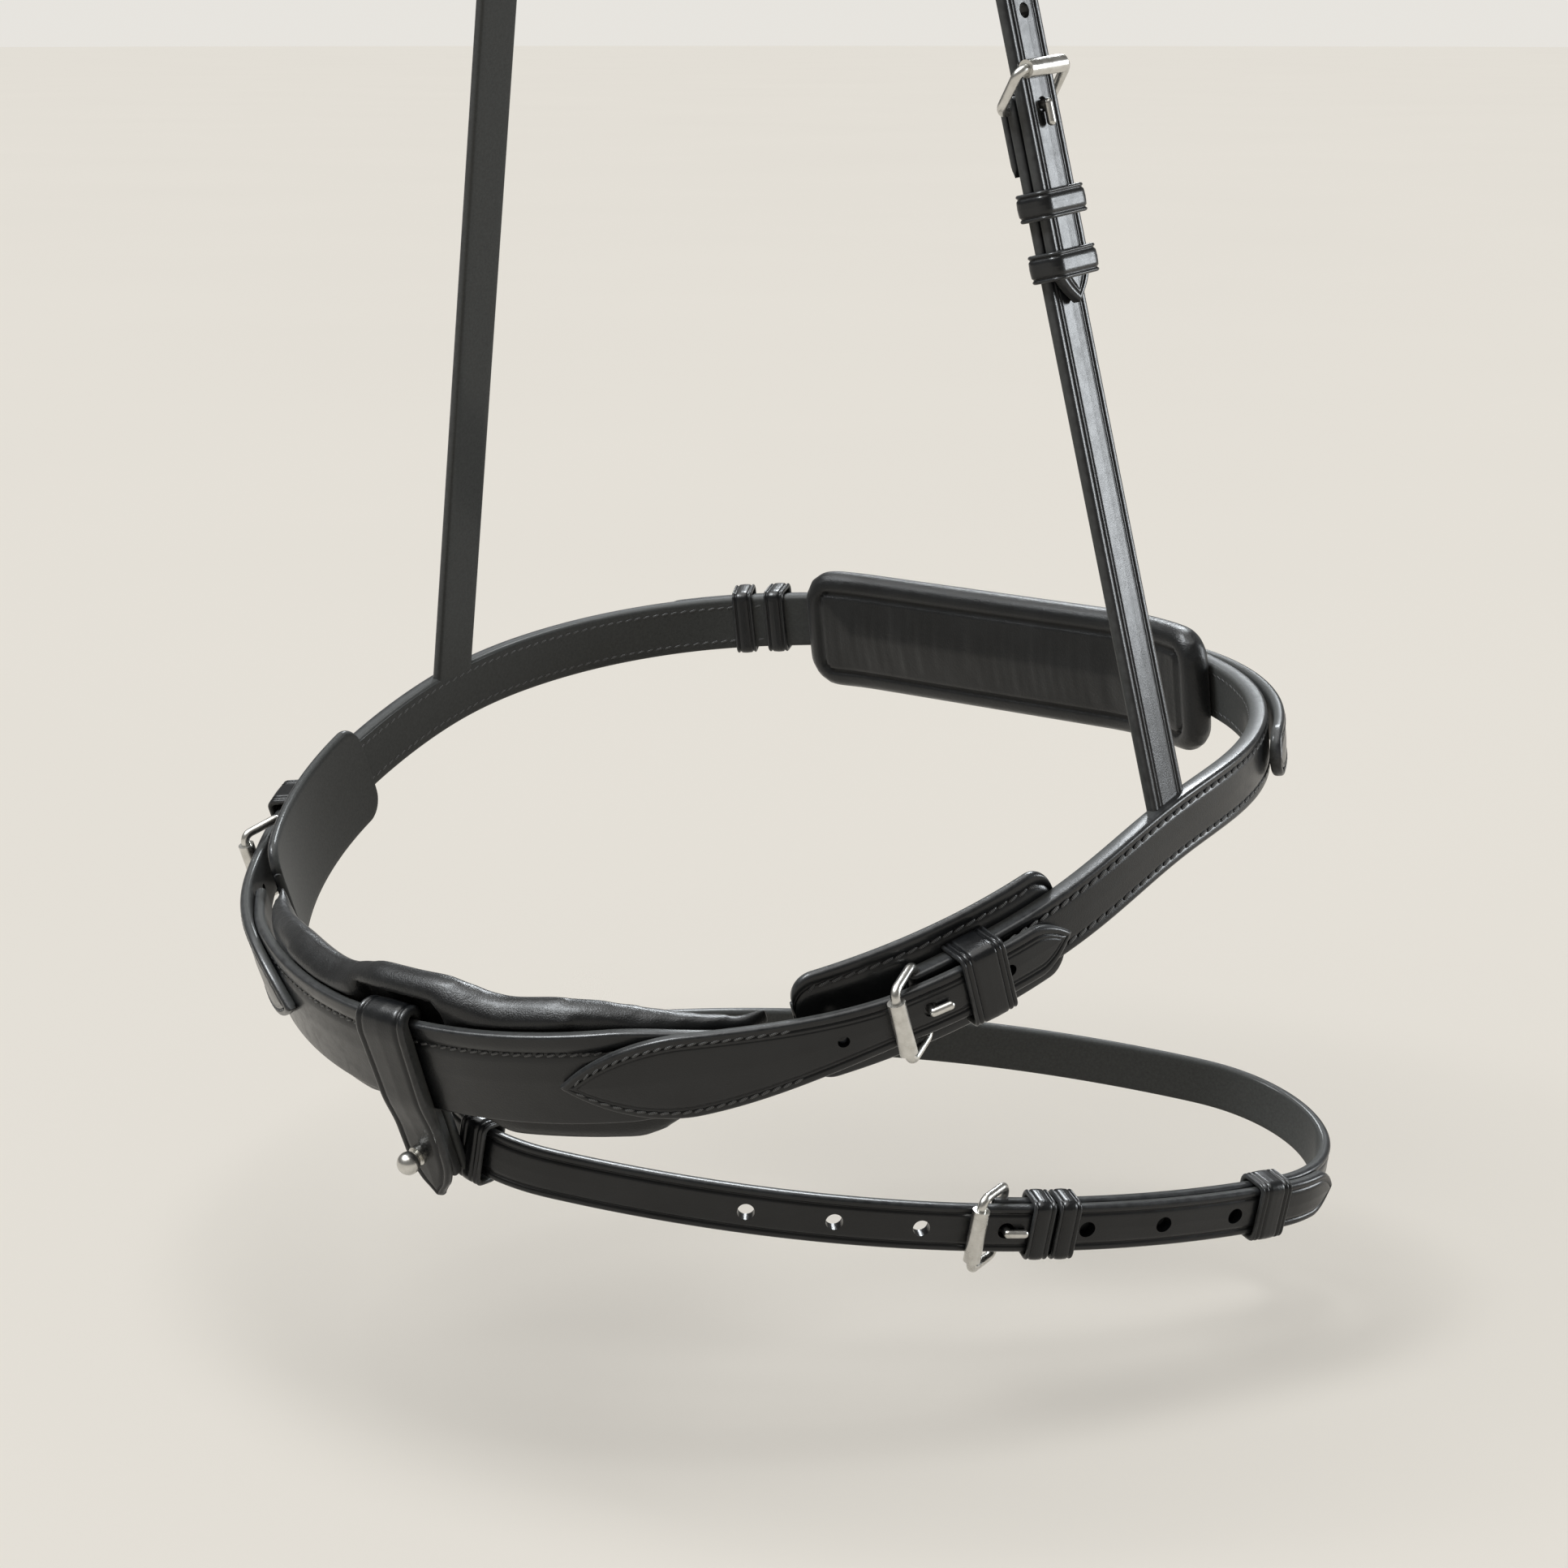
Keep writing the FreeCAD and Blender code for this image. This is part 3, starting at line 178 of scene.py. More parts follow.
def averaged(values, samples, **padding):
    """Rows of values, each averaged over an odd number of samples round it."""
    wide = np.pad(values, ((samples // 2, samples // 2), (0, 0)), **padding)
    return np.stack([np.convolve(column, np.ones(samples) / samples, "valid") for column in wide.T], 1)


def joined(*runs, step=SPACING, smooth=0):
    """Runs end to end, resampled at equal steps; smooth averages the directions over that many samples."""
    path = [np.concatenate(parts) for parts in zip(*runs)]
    keep = np.concatenate([[True], gaps(path[0]) > 1e-5])
    path = [v[keep] for v in path]
    s = distances(path[0])
    t = np.linspace(0, s[-1], int(s[-1] / MM / step) + 1)
    p, n, b = (sampled(v, s, t) for v in path)
    if smooth:
        n, b = (averaged(v, smooth, mode="edge") for v in (n, b))
    return p, unit(n), unit(b)


def lengths(path):
    """Distance along a path at each sample, in millimetres."""
    return distances(path[0]) / MM


def mirror(path):
    """The same path on the off side: x reversed."""
    return tuple(v * [-1, 1, 1.0] for v in path)


def sided(path, side):
    return path if side > 0 else mirror(path)


def tangents(path):
    return unit(np.gradient(path[0], axis=0))


# ------------------------------------------------------------------ meshes
def make_object(name, verts, faces, attributes=None):
    """A mesh object at the origin; faces are turned outwards and shaded smooth up to a sharp angle."""
    mesh = bpy.data.meshes.new(name)
    mesh.from_pydata(np.asarray(verts, float).tolist(), [], [list(f) for f in faces])
    for key, values in (attributes or {}).items():
        layer = mesh.attributes.new(key, "FLOAT", "POINT")
        layer.data.foreach_set("value", np.asarray(values, np.float32).ravel())
    obj = bpy.data.objects.new(name, mesh)
    bpy.context.scene.collection.objects.link(obj)
    tidy(mesh)
    return obj


def tidy(mesh):
    """Merges doubles, turns faces outwards and marks the hard edges."""
    bm = bmesh.new()
    bm.from_mesh(mesh)
    bmesh.ops.remove_doubles(bm, verts=bm.verts, dist=MERGE)
    bmesh.ops.dissolve_degenerate(bm, edges=bm.edges, dist=MERGE)
    bmesh.ops.recalc_face_normals(bm, faces=bm.faces)
    bm.to_mesh(mesh)
    bm.free()
    shade(mesh)


def shade(mesh):
    """Shades a mesh smooth, with a hard edge wherever two faces meet at more than the sharp angle."""
    mesh.polygons.foreach_set("use_smooth", np.ones(len(mesh.polygons), bool))
    mesh.set_sharp_from_angle(angle=SHARP)


def grid_faces(rows, columns, closed=False):
    """Quads between rings of vertices, one ring to a row; closed joins the last row to the first."""
    i, j = np.meshgrid(np.arange(rows if closed else rows - 1), np.arange(columns), indexing="ij")
    below, beside = (i + 1) % rows, (j + 1) % columns
    corners = [i * columns + j, below * columns + j, below * columns + beside, i * columns + beside]
    return np.stack(corners, -1).reshape(-1, 4).tolist()


def shell_faces(rows, columns):
    """Quads between rings of vertices, with a flat cap on the first ring and on the last."""
    caps = [list(range(columns)), [rows * columns - 1 - k for k in range(columns)]]
    return grid_faces(rows, columns) + caps


def per_sample(value, count):
    """One number, or one per sample, as one per sample."""
    return np.broadcast_to(np.asarray(value, float), (count,))


# Distances in from a strap's edge at which its outer and inner face are sampled, and shares of the way on from
# there to the middle.
EDGE_STEPS = np.array([0.0, 0.06, 0.2, 0.42, 0.7, 1.0])
INNER_STEPS = np.array([0.0, 0.1, 0.35, 0.7, 1.0, 2.5])
MIDDLE = np.linspace(0.0, 1.0, 9)[1:]
CREASE_STEPS = (-0.55, -0.3, -0.12, 0.0, 0.12, 0.3, 0.55)
# The rim attribute marks this edge band; the leather material paints it lighter, partly as worn edges and partly as
# a painted highlight.
RIM = 0.9  # width of the edge that wears
# Rows that round off a cut end: share of the width, share of the thickness, and reach beyond the end.
CAP_ROWS = ((0.985, 0.72, 0.45), (0.97, 0.0, 0.5))


def section_offsets(marks):
    """Distances in from a strap's edge at which its face is sampled, closer together at each pressed line."""
    dense = [m + d for m in marks for d in CREASE_STEPS]
    return np.unique(np.concatenate([EDGE_STEPS, dense, [2.4, 3.4]]).clip(0))


def strap(name, path, low, high, width, creases=(), crown=0.12, closed=False, round_edge=1.0, thin=1.0, lower=None):
    """A leather strap: a profile carried along a path.

    The profile is a slab from offset low to high with rounded edges (a quarter circle in from each edge), a
    slight crown on its outer face, and pressed lines given as (distance from edge, depth, half width), each a
    bell curve. lower gives the second edge pressed lines of its own. thin scales the thickness about its middle.
    low, high, width and thin are one number or one per sample.
    """
    p, n, b = path
    count = len(p)
    w = per_sample(width, count)
    half = np.maximum(w / 2, 0.02)[:, None]
    low, high, thin = (per_sample(value, count)[:, None] for value in (low, high, thin))
    offs = section_offsets([c[0] for c in creases])
    offs = offs[offs < w.max() / 2 - 0.2]
    edge = min(round_edge, float((high - low).min()) / 2 - 0.05)

    def side(values, outer):
        """One face from edge to edge: distance from the middle, height, and distance in from the nearer edge."""
        off = np.minimum(values[None, :], half)
        mid = half - (half - off[:, -1:]) * (1 - MIDDLE[None, :])
        off = np.concatenate([off, np.minimum(mid, half)], 1)
        t = np.clip(1 - off / edge, 0, 1)
        drop = edge * (1 - np.sqrt(np.clip(1 - t * t, 0, 1)))

        def pressed(lines):
            total = drop
            for at, depth, spread in lines:
                total = total + depth * np.exp(-(((off - at) / spread) ** 2))
            return high - total + crown * np.clip(off / np.maximum(half, 2.0), 0, 1) ** 2

        upper = pressed(creases) if outer else low + drop
        other = upper if lower is None or not outer else pressed(lower)
        across = half - off
        pairs = ((across, -across), (upper, other), (off, off))
        return [np.concatenate([first, second[:, -2::-1]], 1) for first, second in pairs]

    outside, inside = side(offs, True), side(INNER_STEPS, False)
    across, height, off = (np.concatenate([out, back[:, ::-1]], 1) for out, back in zip(outside, inside))
    middle = (low + high) / 2
    height = middle + (height - middle) * thin
    # rim is 1 at the edge and falls to 0 over RIM; it drives the lighter edge colour, worn edge and painted
    # highlight together.
    rim = np.clip(1 - off / RIM, 0, 1)
    flesh = np.concatenate([np.zeros_like(outside[2]), np.ones_like(inside[2])], 1)
    verts = p[:, None, :] + (across[..., None] * b[:, None, :] + height[..., None] * n[:, None, :]) * MM
    columns = verts.shape[1]
    if closed:
        faces = grid_faces(count, columns, closed=True)
    else:
        caps = []
        for k, sign in ((0, -1), (count - 1, 1)):
            reach_out = tangents(path)[k] * sign
            for wide, thick, reach in CAP_ROWS:
                level = middle[k] + (height[k] - middle[k]) * thick
                row = (across[k] * wide)[:, None] * b[k] + level[:, None] * n[k]
                caps.append((p[k] + row * MM + reach_out * reach * MM * min(1, w[k] / 4))[None])
        verts = np.concatenate([caps[1], caps[0], verts, caps[2], caps[3]])
        rim = np.concatenate([np.ones((2, columns)), rim, np.ones((2, columns))])
        flesh = np.concatenate([flesh[:1], flesh[:1], flesh, flesh[-1:], flesh[-1:]])
        faces = grid_faces(count + 4, columns)
    return make_object(name, verts.reshape(-1, 3), faces, {"rim": rim, "flesh": flesh})


def join(name, *objects):
    """Several meshes as one piece."""
    bm = bmesh.new()
    for obj in objects:
        bm.from_mesh(obj.data)
    mesh = bpy.data.meshes.new(name)
    bm.to_mesh(mesh)
    bm.free()
    first, *others = objects
    first.data = mesh
    first.name = name
    for obj in others:
        bpy.data.objects.remove(obj)
    mesh.set_sharp_from_angle(angle=SHARP)
    return first


def evaluated(obj):
    """The mesh that a piece's modifiers make of it."""
    graph = bpy.context.evaluated_depsgraph_get()
    graph.update()
    return bpy.data.meshes.new_from_object(obj.evaluated_get(graph))


def baked(obj):
    """Gives a piece the mesh that its modifiers make of it, and drops them."""
    mesh = evaluated(obj)
    obj.modifiers.clear()
    obj.data = mesh
    return mesh


def pierce(obj, *cutters):
    """Cuts round holes and slots clean through a piece, then drops the tools."""
    tool = join(obj.name + "_cutter", *cutters) if len(cutters) > 1 else cutters[0]
    step = obj.modifiers.new("Holes", "BOOLEAN")
    step.operation = "DIFFERENCE"
    step.solver = "EXACT"
    step.object = tool
    mesh = baked(obj)
    bpy.data.objects.remove(tool)
    shade(mesh)


def hole_tool(at, along, radius=HOLE_R, length=14.0, around=28):
    """A round punch through a point in metres, along a direction."""
    axis = unit(np.asarray(along, float))
    u = unit(np.cross(axis, [0.3, 0.9, 0.2]))
    a = np.linspace(0, 2 * math.pi, around, endpoint=False)
    ring = np.cos(a)[:, None] * u + np.sin(a)[:, None] * np.cross(axis, u)
    half = length / 2
    profile = np.array([(-half, 0.001), (-half, radius), (half, radius), (half, 0.001)])
    verts = at + (profile[:, 0, None, None] * axis + profile[:, 1, None, None] * ring[None]) * MM
    return make_object("punch", verts.reshape(-1, 3), grid_faces(len(profile), around))


def bar_tool(at, along, across, out, size):
    """A straight sided cutter with three half sizes in millimetres."""
    c = np.array([[i, j, k] for i in (-1, 1) for j in (-1, 1) for k in (-1, 1)], float) * size
    verts = at + (c[:, :1] * along + c[:, 1:2] * across + c[:, 2:] * out) * MM
    faces = [(0, 1, 3, 2), (4, 6, 7, 5), (0, 4, 5, 1), (2, 3, 7, 6), (0, 2, 6, 4), (1, 5, 7, 3)]
    return make_object("slot", verts, faces)


# One stitch: (distance along it, radius) of its rings, samples round each, turn from its line, and flattening.
STITCH = np.array([(-1.2, 0.1), (-0.95, 0.32), (-0.45, 0.4), (0.45, 0.4), (0.95, 0.32), (1.2, 0.1)])
STITCH_AROUND, STITCH_SLANT, STITCH_FLAT = 6, math.radians(14.0), 0.8


def stitches(name, path, across, height, pitch=3.0, size=1.0):
    """A row of thread stitches: small capsules at equal steps along a path, each turned a little from its line."""
    s = lengths(path)
    at = np.arange(pitch / 2, s[-1], pitch)
    across = per_sample(across, len(s))
    p, n, b = resampled(path, s, at)
    t = unit(sampled(tangents(path), s, at))
    t = unit(t + np.interp(at, s, np.gradient(across, s))[:, None] * b)
    centre = p + (np.interp(at, s, across)[:, None] * b + height * n) * MM
    c, d = math.cos(STITCH_SLANT), math.sin(STITCH_SLANT)
    t, b = unit(c * t + d * b), unit(c * b - d * t)
    a = np.linspace(0, 2 * math.pi, STITCH_AROUND, endpoint=False)
    rings = STITCH * size
    x = np.repeat(rings[:, 0], STITCH_AROUND)
    y = (rings[:, 1, None] * np.cos(a)).ravel()
    z = (rings[:, 1, None] * np.sin(a)).ravel() * STITCH_FLAT
    body = sum(part[None, :, None] * axis[:, None] for part, axis in ((x, t), (y, b), (z, n)))
    verts = centre[:, None] + body * MM
    first, last = range(STITCH_AROUND), range(len(x) - STITCH_AROUND, len(x))
    one = grid_faces(len(STITCH), STITCH_AROUND) + [list(first)[::-1], list(last)]
    faces = [[i + len(x) * k for i in face] for k in range(len(at)) for face in one]
    plain = np.zeros(len(x) * len(at))
    return make_object(name, verts.reshape(-1, 3), faces, {"rim": plain, "flesh": plain})


def two_rows(path, across, height, **how):
    """A row of stitches along each edge, at the same distance either side of the middle."""
    return [stitches("row", path, sign * across, height, **how) for sign in (1, -1)]


def round_width(radius, d):
    """Width of a half round end at distance d from its tip: twice the root of r squared less (r - d) squared."""
    return 2 * np.sqrt(np.clip(radius ** 2 - (radius - d) ** 2, 0, None))


def ogive_tip(s, reach, full):
    """Width of a strap near a pointed oval end: full width times 1 less (1 - distance / reach) to the 1.8."""
    d = np.clip((s[-1] - s) / reach, 0, 1)
    return full * (1 - (1 - d) ** 1.8)


def close_tip(path, samples, reach):
    """Adds samples to the last stretch of a path, so that a round tip is smooth."""
    s = lengths(path)
    extra = s[-1] - reach * np.cos(np.linspace(0, math.pi / 2, samples + 1))
    return resampled(path, s, np.unique(np.concatenate([s[s < s[-1] - reach], extra])))


def end_distance(path, limit, start=True, end=True):
    """Distance to the nearer of the ends asked for, up to a limit."""
    s = lengths(path)
    d = np.full(len(s), limit)
    if start:
        d = np.minimum(d, s)
    if end:
        d = np.minimum(d, s[-1] - s)
    return d


def round_nose(path, radius, start=True, end=False):
    """Thickness scale for a folded end: the root of 1 less (1 - distance / radius) squared."""
    return np.sqrt(np.clip(1 - (1 - end_distance(path, radius, start, end) / radius) ** 2, 0.02, 1))


def corner_width(path, full, radius):
    """Width of a strap whose corners are rounded with a radius: quarter circles at both ends."""
    return full - 2 * radius + round_width(radius, end_distance(path, radius))


def dense_ends(path, reach, samples=14):
    """Resamples the last stretch at both ends by a cosine rule, so that rounded ends look smooth."""
    s = lengths(path)
    near = reach * (1 - np.cos(np.linspace(0, math.pi / 2, samples)))
    t = np.concatenate([near, s[(s > reach) & (s < s[-1] - reach)], s[-1] - near])
    return resampled(path, s, np.unique(np.round(t, 5)))


def soften(path, samples):
    """Averages the positions of a path twice over a few samples, so that a join between two planes is no kink."""
    p, n, b = path
    for _ in range(2):
        p = averaged(p, samples, mode="reflect", reflect_type="odd")
    return p, n, b


# ------------------------------------------------------------------ finishes
def feed(tree, inputs, values):
    """Links each source socket, and sets each plain value, to the input with its name or number."""
    for key, value in values.items():
        if isinstance(value, bpy.types.NodeSocket):
            tree.links.new(value, inputs[key])
        else:
            inputs[key].default_value = value


def group(name, inputs, *outputs):
    """An empty shader node group with float inputs, given with their usual values, and float outputs."""
    tree = bpy.data.node_groups.new(name, "ShaderNodeTree")
    for key, value in inputs.items():
        socket = tree.interface.new_socket(key, in_out="INPUT", socket_type="NodeSocketFloat")
        socket.default_value = value
    for key in outputs:
        tree.interface.new_socket(key, in_out="OUTPUT", socket_type="NodeSocketFloat")
    return tree, tree.nodes.new("NodeGroupInput").outputs, tree.nodes.new("NodeGroupOutput").inputs


def add(tree, kind, values=None, **settings):
    """Adds one node, with its settings and its inputs."""
    node = tree.nodes.new(kind)
    for key, value in settings.items():
        setattr(node, key, value)
    feed(tree, node.inputs, values or {})
    return node


def object_space(tree):
    return add(tree, "ShaderNodeTexCoord").outputs["Object"]


def noise(tree, at, scale, detail, rough=0.5):
    """Fractal noise from 0 to 1."""
    values = {"Vector": at, "Scale": scale, "Detail": detail, "Roughness": rough}
    return add(tree, "ShaderNodeTexNoise", values).outputs["Fac"]


def calculated(tree, operation, *values, **settings):
    return add(tree, "ShaderNodeMath", dict(enumerate(values)), operation=operation, **settings).outputs[0]


def ramp(tree, source, *stops):
    """Grey ramp between two stops, each a position and a grey."""
    node = add(tree, "ShaderNodeValToRGB", {"Fac": source})
    for element, (position, grey) in zip(node.color_ramp.elements, stops):
        element.position = position
        element.color = (grey, grey, grey, 1)
    return node.outputs["Color"]


def leather_grain():
    """Close pebbled grain over slow mottling: Height for a bump, Tone and Wear as greys."""
    usual = {"Pebble Scale": 900.0, "Mottle Scale": 70.0, "Pebble Depth": 0.5}
    tree, given, out = group("Leather grain", usual, "Height", "Tone", "Wear")
    at = object_space(tree)
    pebble = add(
        tree, "ShaderNodeTexVoronoi", {"Vector": at, "Scale": given["Pebble Scale"]}, feature="SMOOTH_F1",
    )
    pores = noise(tree, at, 2600.0, 3.0)
    deep = calculated(tree, "MULTIPLY", pebble.outputs["Distance"], given["Pebble Depth"])
    scuff = noise(tree, at, 260.0, 6.0, 0.7)
    feed(tree, out, {
        "Height": calculated(tree, "MULTIPLY_ADD", deep, pores, pores),
        "Tone": noise(tree, at, given["Mottle Scale"], 5.0),
        "Wear": ramp(tree, scuff, (0.45, 0.0), (0.75, 1.0)),
    })
    return tree


def edge_wear_and_highlight():
    """Where a strap's edge is painted lighter: the rim attribute broken up by fine noise, partly for worn edges and
    partly as a painted highlight along them.
    """
    tree, given, out = group("Edge wear", {"Amount": 0.6}, "Mask")
    rim = add(tree, "ShaderNodeAttribute", attribute_name="rim").outputs["Fac"]
    broken = ramp(tree, noise(tree, object_space(tree), 420.0, 4.0), (0.3, 0.25), (0.65, 1.0))
    strong = calculated(tree, "MULTIPLY", rim, given["Amount"])
    feed(tree, out, {"Mask": calculated(tree, "MULTIPLY", strong, broken, use_clamp=True)})
    return tree


def flesh_side():
    """The rough inner side of a strap: the flesh attribute, with a fibrous height."""
    tree, given, out = group("Flesh side", {"Fibre Scale": 1200.0}, "Mask", "Height")
    flesh = add(tree, "ShaderNodeAttribute", attribute_name="flesh").outputs["Fac"]
    feed(tree, out, {"Mask": flesh, "Height": noise(tree, object_space(tree), given["Fibre Scale"], 8.0, 0.75)})
    return tree


GRAIN, EDGE_WEAR_AND_HIGHLIGHT, FLESH = leather_grain(), edge_wear_and_highlight(), flesh_side()


def new_material(name):
    material = bpy.data.materials.new(name)
    material.use_nodes = True
    tree = material.node_tree
    return material, tree, tree.nodes["Principled BSDF"]


def mix(tree, amount, a, b, kind="RGBA"):
    """Mix of two colours or two floats by a factor."""
    node = add(tree, "ShaderNodeMix", data_type=kind)
    suffix = {"RGBA": "_Color", "FLOAT": "_Float"}[kind]
    inputs = {s.identifier: s for s in node.inputs}
    feed(tree, inputs, {"Factor_Float": amount, "A" + suffix: a, "B" + suffix: b})
    return {s.identifier: s for s in node.outputs}["Result" + suffix]


def bumped(tree, height, strength, distance):
    """Normals from a height, with the distance in metres."""
    values = {"Height": height, "Strength": strength, "Distance": distance}
    return add(tree, "ShaderNodeBump", values).outputs["Normal"]


def leather(name, dark, light, rough, wear_and_highlight, pebble_depth, bump, coat, sheen):
    """Dyed black bridle leather: grain side, inked edges lightened by a light rub and by a painted highlight, and a
    matt flesh side.
    """
    material, tree, shader = new_material(name)
    grain = add(tree, "ShaderNodeGroup", {"Pebble Depth": pebble_depth}, node_tree=GRAIN).outputs
    edge = add(tree, "ShaderNodeGroup", {"Amount": wear_and_highlight}, node_tree=EDGE_WEAR_AND_HIGHLIGHT).outputs
    flesh = add(tree, "ShaderNodeGroup", node_tree=FLESH).outputs
    tone = mix(tree, ramp(tree, grain["Tone"], (0.35, 0.0), (0.7, 1.0)), (*dark, 1), (*light, 1))
    # Lighter grey at the edges: partly worn edges, partly a painted highlight standing in for the light that
    # catches them.
    rubbed_and_lit = mix(tree, edge["Mask"], tone, (0.05, 0.052, 0.054, 1))
    fibres = mix(tree, flesh["Height"], (0.009, 0.0093, 0.009, 1), (0.05, 0.052, 0.05, 1))
    glossy = mix(tree, grain["Wear"], rough, rough + 0.14, "FLOAT")
    height = mix(tree, flesh["Mask"], grain["Height"], flesh["Height"], "FLOAT")
    feed(tree, shader.inputs, {
        "Base Color": mix(tree, flesh["Mask"], rubbed_and_lit, fibres),
        "Roughness": mix(tree, flesh["Mask"], glossy, 0.82, "FLOAT"),
        "Normal": bumped(tree, height, bump, 0.00012),
        "Specular IOR Level": 0.32,
        "Coat Weight": coat,
        "Coat Roughness": 0.16,
        "Sheen Weight": sheen,
    })
    return material


# The edge amount, 0.6 here and 0.2 for the lining, sets how much lighter the edges are painted, as worn edges and
# as painted highlight.
LEATHER_STRAP = leather(
    "bridle leather", (0.003, 0.0034, 0.004), (0.0075, 0.0082, 0.0092),
    rough=0.3, wear_and_highlight=0.6, pebble_depth=0.5, bump=0.35, coat=0.22, sheen=0.0,
)
LEATHER_SOFT = leather(
    "soft lining leather", (0.003, 0.0033, 0.0036), (0.007, 0.0075, 0.008),
    rough=0.34, wear_and_highlight=0.2, pebble_depth=0.9, bump=0.6, coat=0.08, sheen=0.05,
)


def thread():
    """Waxed linen thread, twisted: fine diagonal ribs from a wave over a dark ground; the lighter ribs are partly
    the twisted thread's pattern and partly a painted highlight on the stitches.
    """
    material, tree, shader = new_material("waxed thread")
    values = {"Vector": object_space(tree), "Scale": 900.0, "Distortion": 1.5}
    twist_and_glint = add(tree, "ShaderNodeTexWave", values, bands_direction="DIAGONAL").outputs["Fac"]
    feed(tree, shader.inputs, {
        # The light ribs in the colour also stand in for the glints on the stitches: a painted highlight.
        "Base Color": mix(tree, twist_and_glint, (0.016, 0.016, 0.016, 1), (0.085, 0.086, 0.088, 1)),
        "Roughness": ramp(tree, twist_and_glint, (0.0, 0.55), (1.0, 0.38)),
        "Normal": bumped(tree, twist_and_glint, 0.4, 0.0001),
    })
    return material


def nickel():
    """Satin nickel: a plated metal with smudges, a little darkening and a very fine grain."""
    material, tree, shader = new_material("satin nickel plate")
    at = object_space(tree)
    smudge = noise(tree, at, 300.0, 6.0, 0.65)
    clear = ramp(tree, smudge, (0.3, 0.0), (0.7, 1.0))
    feed(tree, shader.inputs, {
        "Base Color": mix(tree, clear, (0.50, 0.49, 0.46, 1), (0.70, 0.69, 0.66, 1)),
        "Metallic": 1.0,
        "Roughness": mix(tree, smudge, 0.2, 0.38, "FLOAT"),
        "Normal": bumped(tree, noise(tree, at, 3500.0, 2.0), 0.12, 0.00005),
    })
    return material


THREAD, NICKEL = thread(), nickel()


def finish(obj, body, material, slot, *nodes):
    """Gives a piece its material and body, and hides the CAD nodes that it stands for; slot is not used."""
    obj.data.materials.append(material)
    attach(obj, body)
    if nodes:
        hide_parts(*nodes)


def strap_piece(obj, body, node):
    finish(obj, body, LEATHER_STRAP, "black_leather", node)


def thread_piece(obj):
    finish(obj, "noseband", THREAD, "black_leather")


# ------------------------------------------------------------------ noseband leather
# Pressed lines, each (distance from edge, depth, half width).
TRAMLINES = ((2.2, 0.32, 0.26), (3.3, 0.22, 0.24))
SINGLE_LINE = ((2.1, 0.5, 0.42),)
FACE_SEAM, LOW_EDGE = ((5.4, 0.75, 0.9),), ((1.6, 0.3, 0.35),)
BAND_LINE, CHAPE_LINE, GUARD_LINE = ((2.6, 0.4, 0.6),), ((2.3, 0.35, 0.5),), ((3.6, 0.55, 0.8),)
SIDES = (("near", 1), ("off", -1))


def nose_arc(radius, start, end):
    """Arc in the nose half of the ring; angles count from the front, near side positive."""
    return arc(NOSE, NOSE_CENTRE, radius, start - 90, end - 90)


def nose_spot(radius, degrees, side, span=1.0):
    """Point, normal, width direction and forward direction of the ring at one angle."""
    path = sided(nose_arc(radius, degrees, degrees + span), side)
    return (*(v[0] for v in path), tangents(path)[0])


def ease(x, low, high):
    """Smooth step from 0 at low to 1 at high: 3 t squared less 2 t cubed."""
    t = np.clip((x - low) / (high - low), 0, 1)
    return t * t * (3 - 2 * t)


FACE_DRAWN_IN, FACE_FULL, FACE_SEWN = 13.0, 27.0, 34.0


def face_width(path, half):
    """Width of the face band along a path that reaches half degrees to each side of the front."""
    degrees = np.abs(np.degrees(lengths(path) / RING_R) - half)
    return FACE_WIDTH - FACE_DRAWN_IN * ease(degrees, FACE_FULL, FACE_HALF)


def face_band():
    """Front band: full width over the nose, drawn in under the sewn leaves, with a stitched line along its top."""
    path = dense_ends(nose_arc(RING_R, -FACE_HALF, FACE_HALF), 4.0)
    width = face_width(path, FACE_HALF)
    obj = strap("nosepiece_face_leather", path, 0, LEATHER, width, FACE_SEAM, crown=0.25, lower=LOW_EDGE)
    strap_piece(obj, "noseband", "nosepiece_face")
    inner = nose_arc(RING_R, -FACE_SEWN, FACE_SEWN)
    row = face_width(inner, FACE_SEWN) / 2 - 5.6
    thread_piece(stitches("nosepiece_face_stitching", inner, row, LEATHER - 0.55))


def leaf_width(s):
    """Width of a billet from its sewn point: a circle up to the widest place, then a long taper to the strap."""
    half_w = LEAF_WIDTH / 2
    big = (LEAF_BULGE ** 2 + half_w ** 2) / (2 * half_w)
    x = np.clip(LEAF_BULGE - s, 0, LEAF_BULGE)
    leaf = 2 * (np.sqrt(big ** 2 - x ** 2) - (big - half_w))
    t = np.clip((s - LEAF_BULGE) / LEAF_TAPER, 0, 1)
    return leaf - (LEAF_WIDTH - BILLET_WIDTH) * (0.5 * t + 0.5 * t * t * (3 - 2 * t))


BILLET_THICK, BILLET_TIP = 2.8, 11.0
BILLET_HOLE_STEP, BILLET_HOLE_R = 9.51, 1.5
LEAF_SEWN_FROM, LEAF_SEWN_TO, LEAF_SEWN_IN = 1.6, 25.5, 2.0


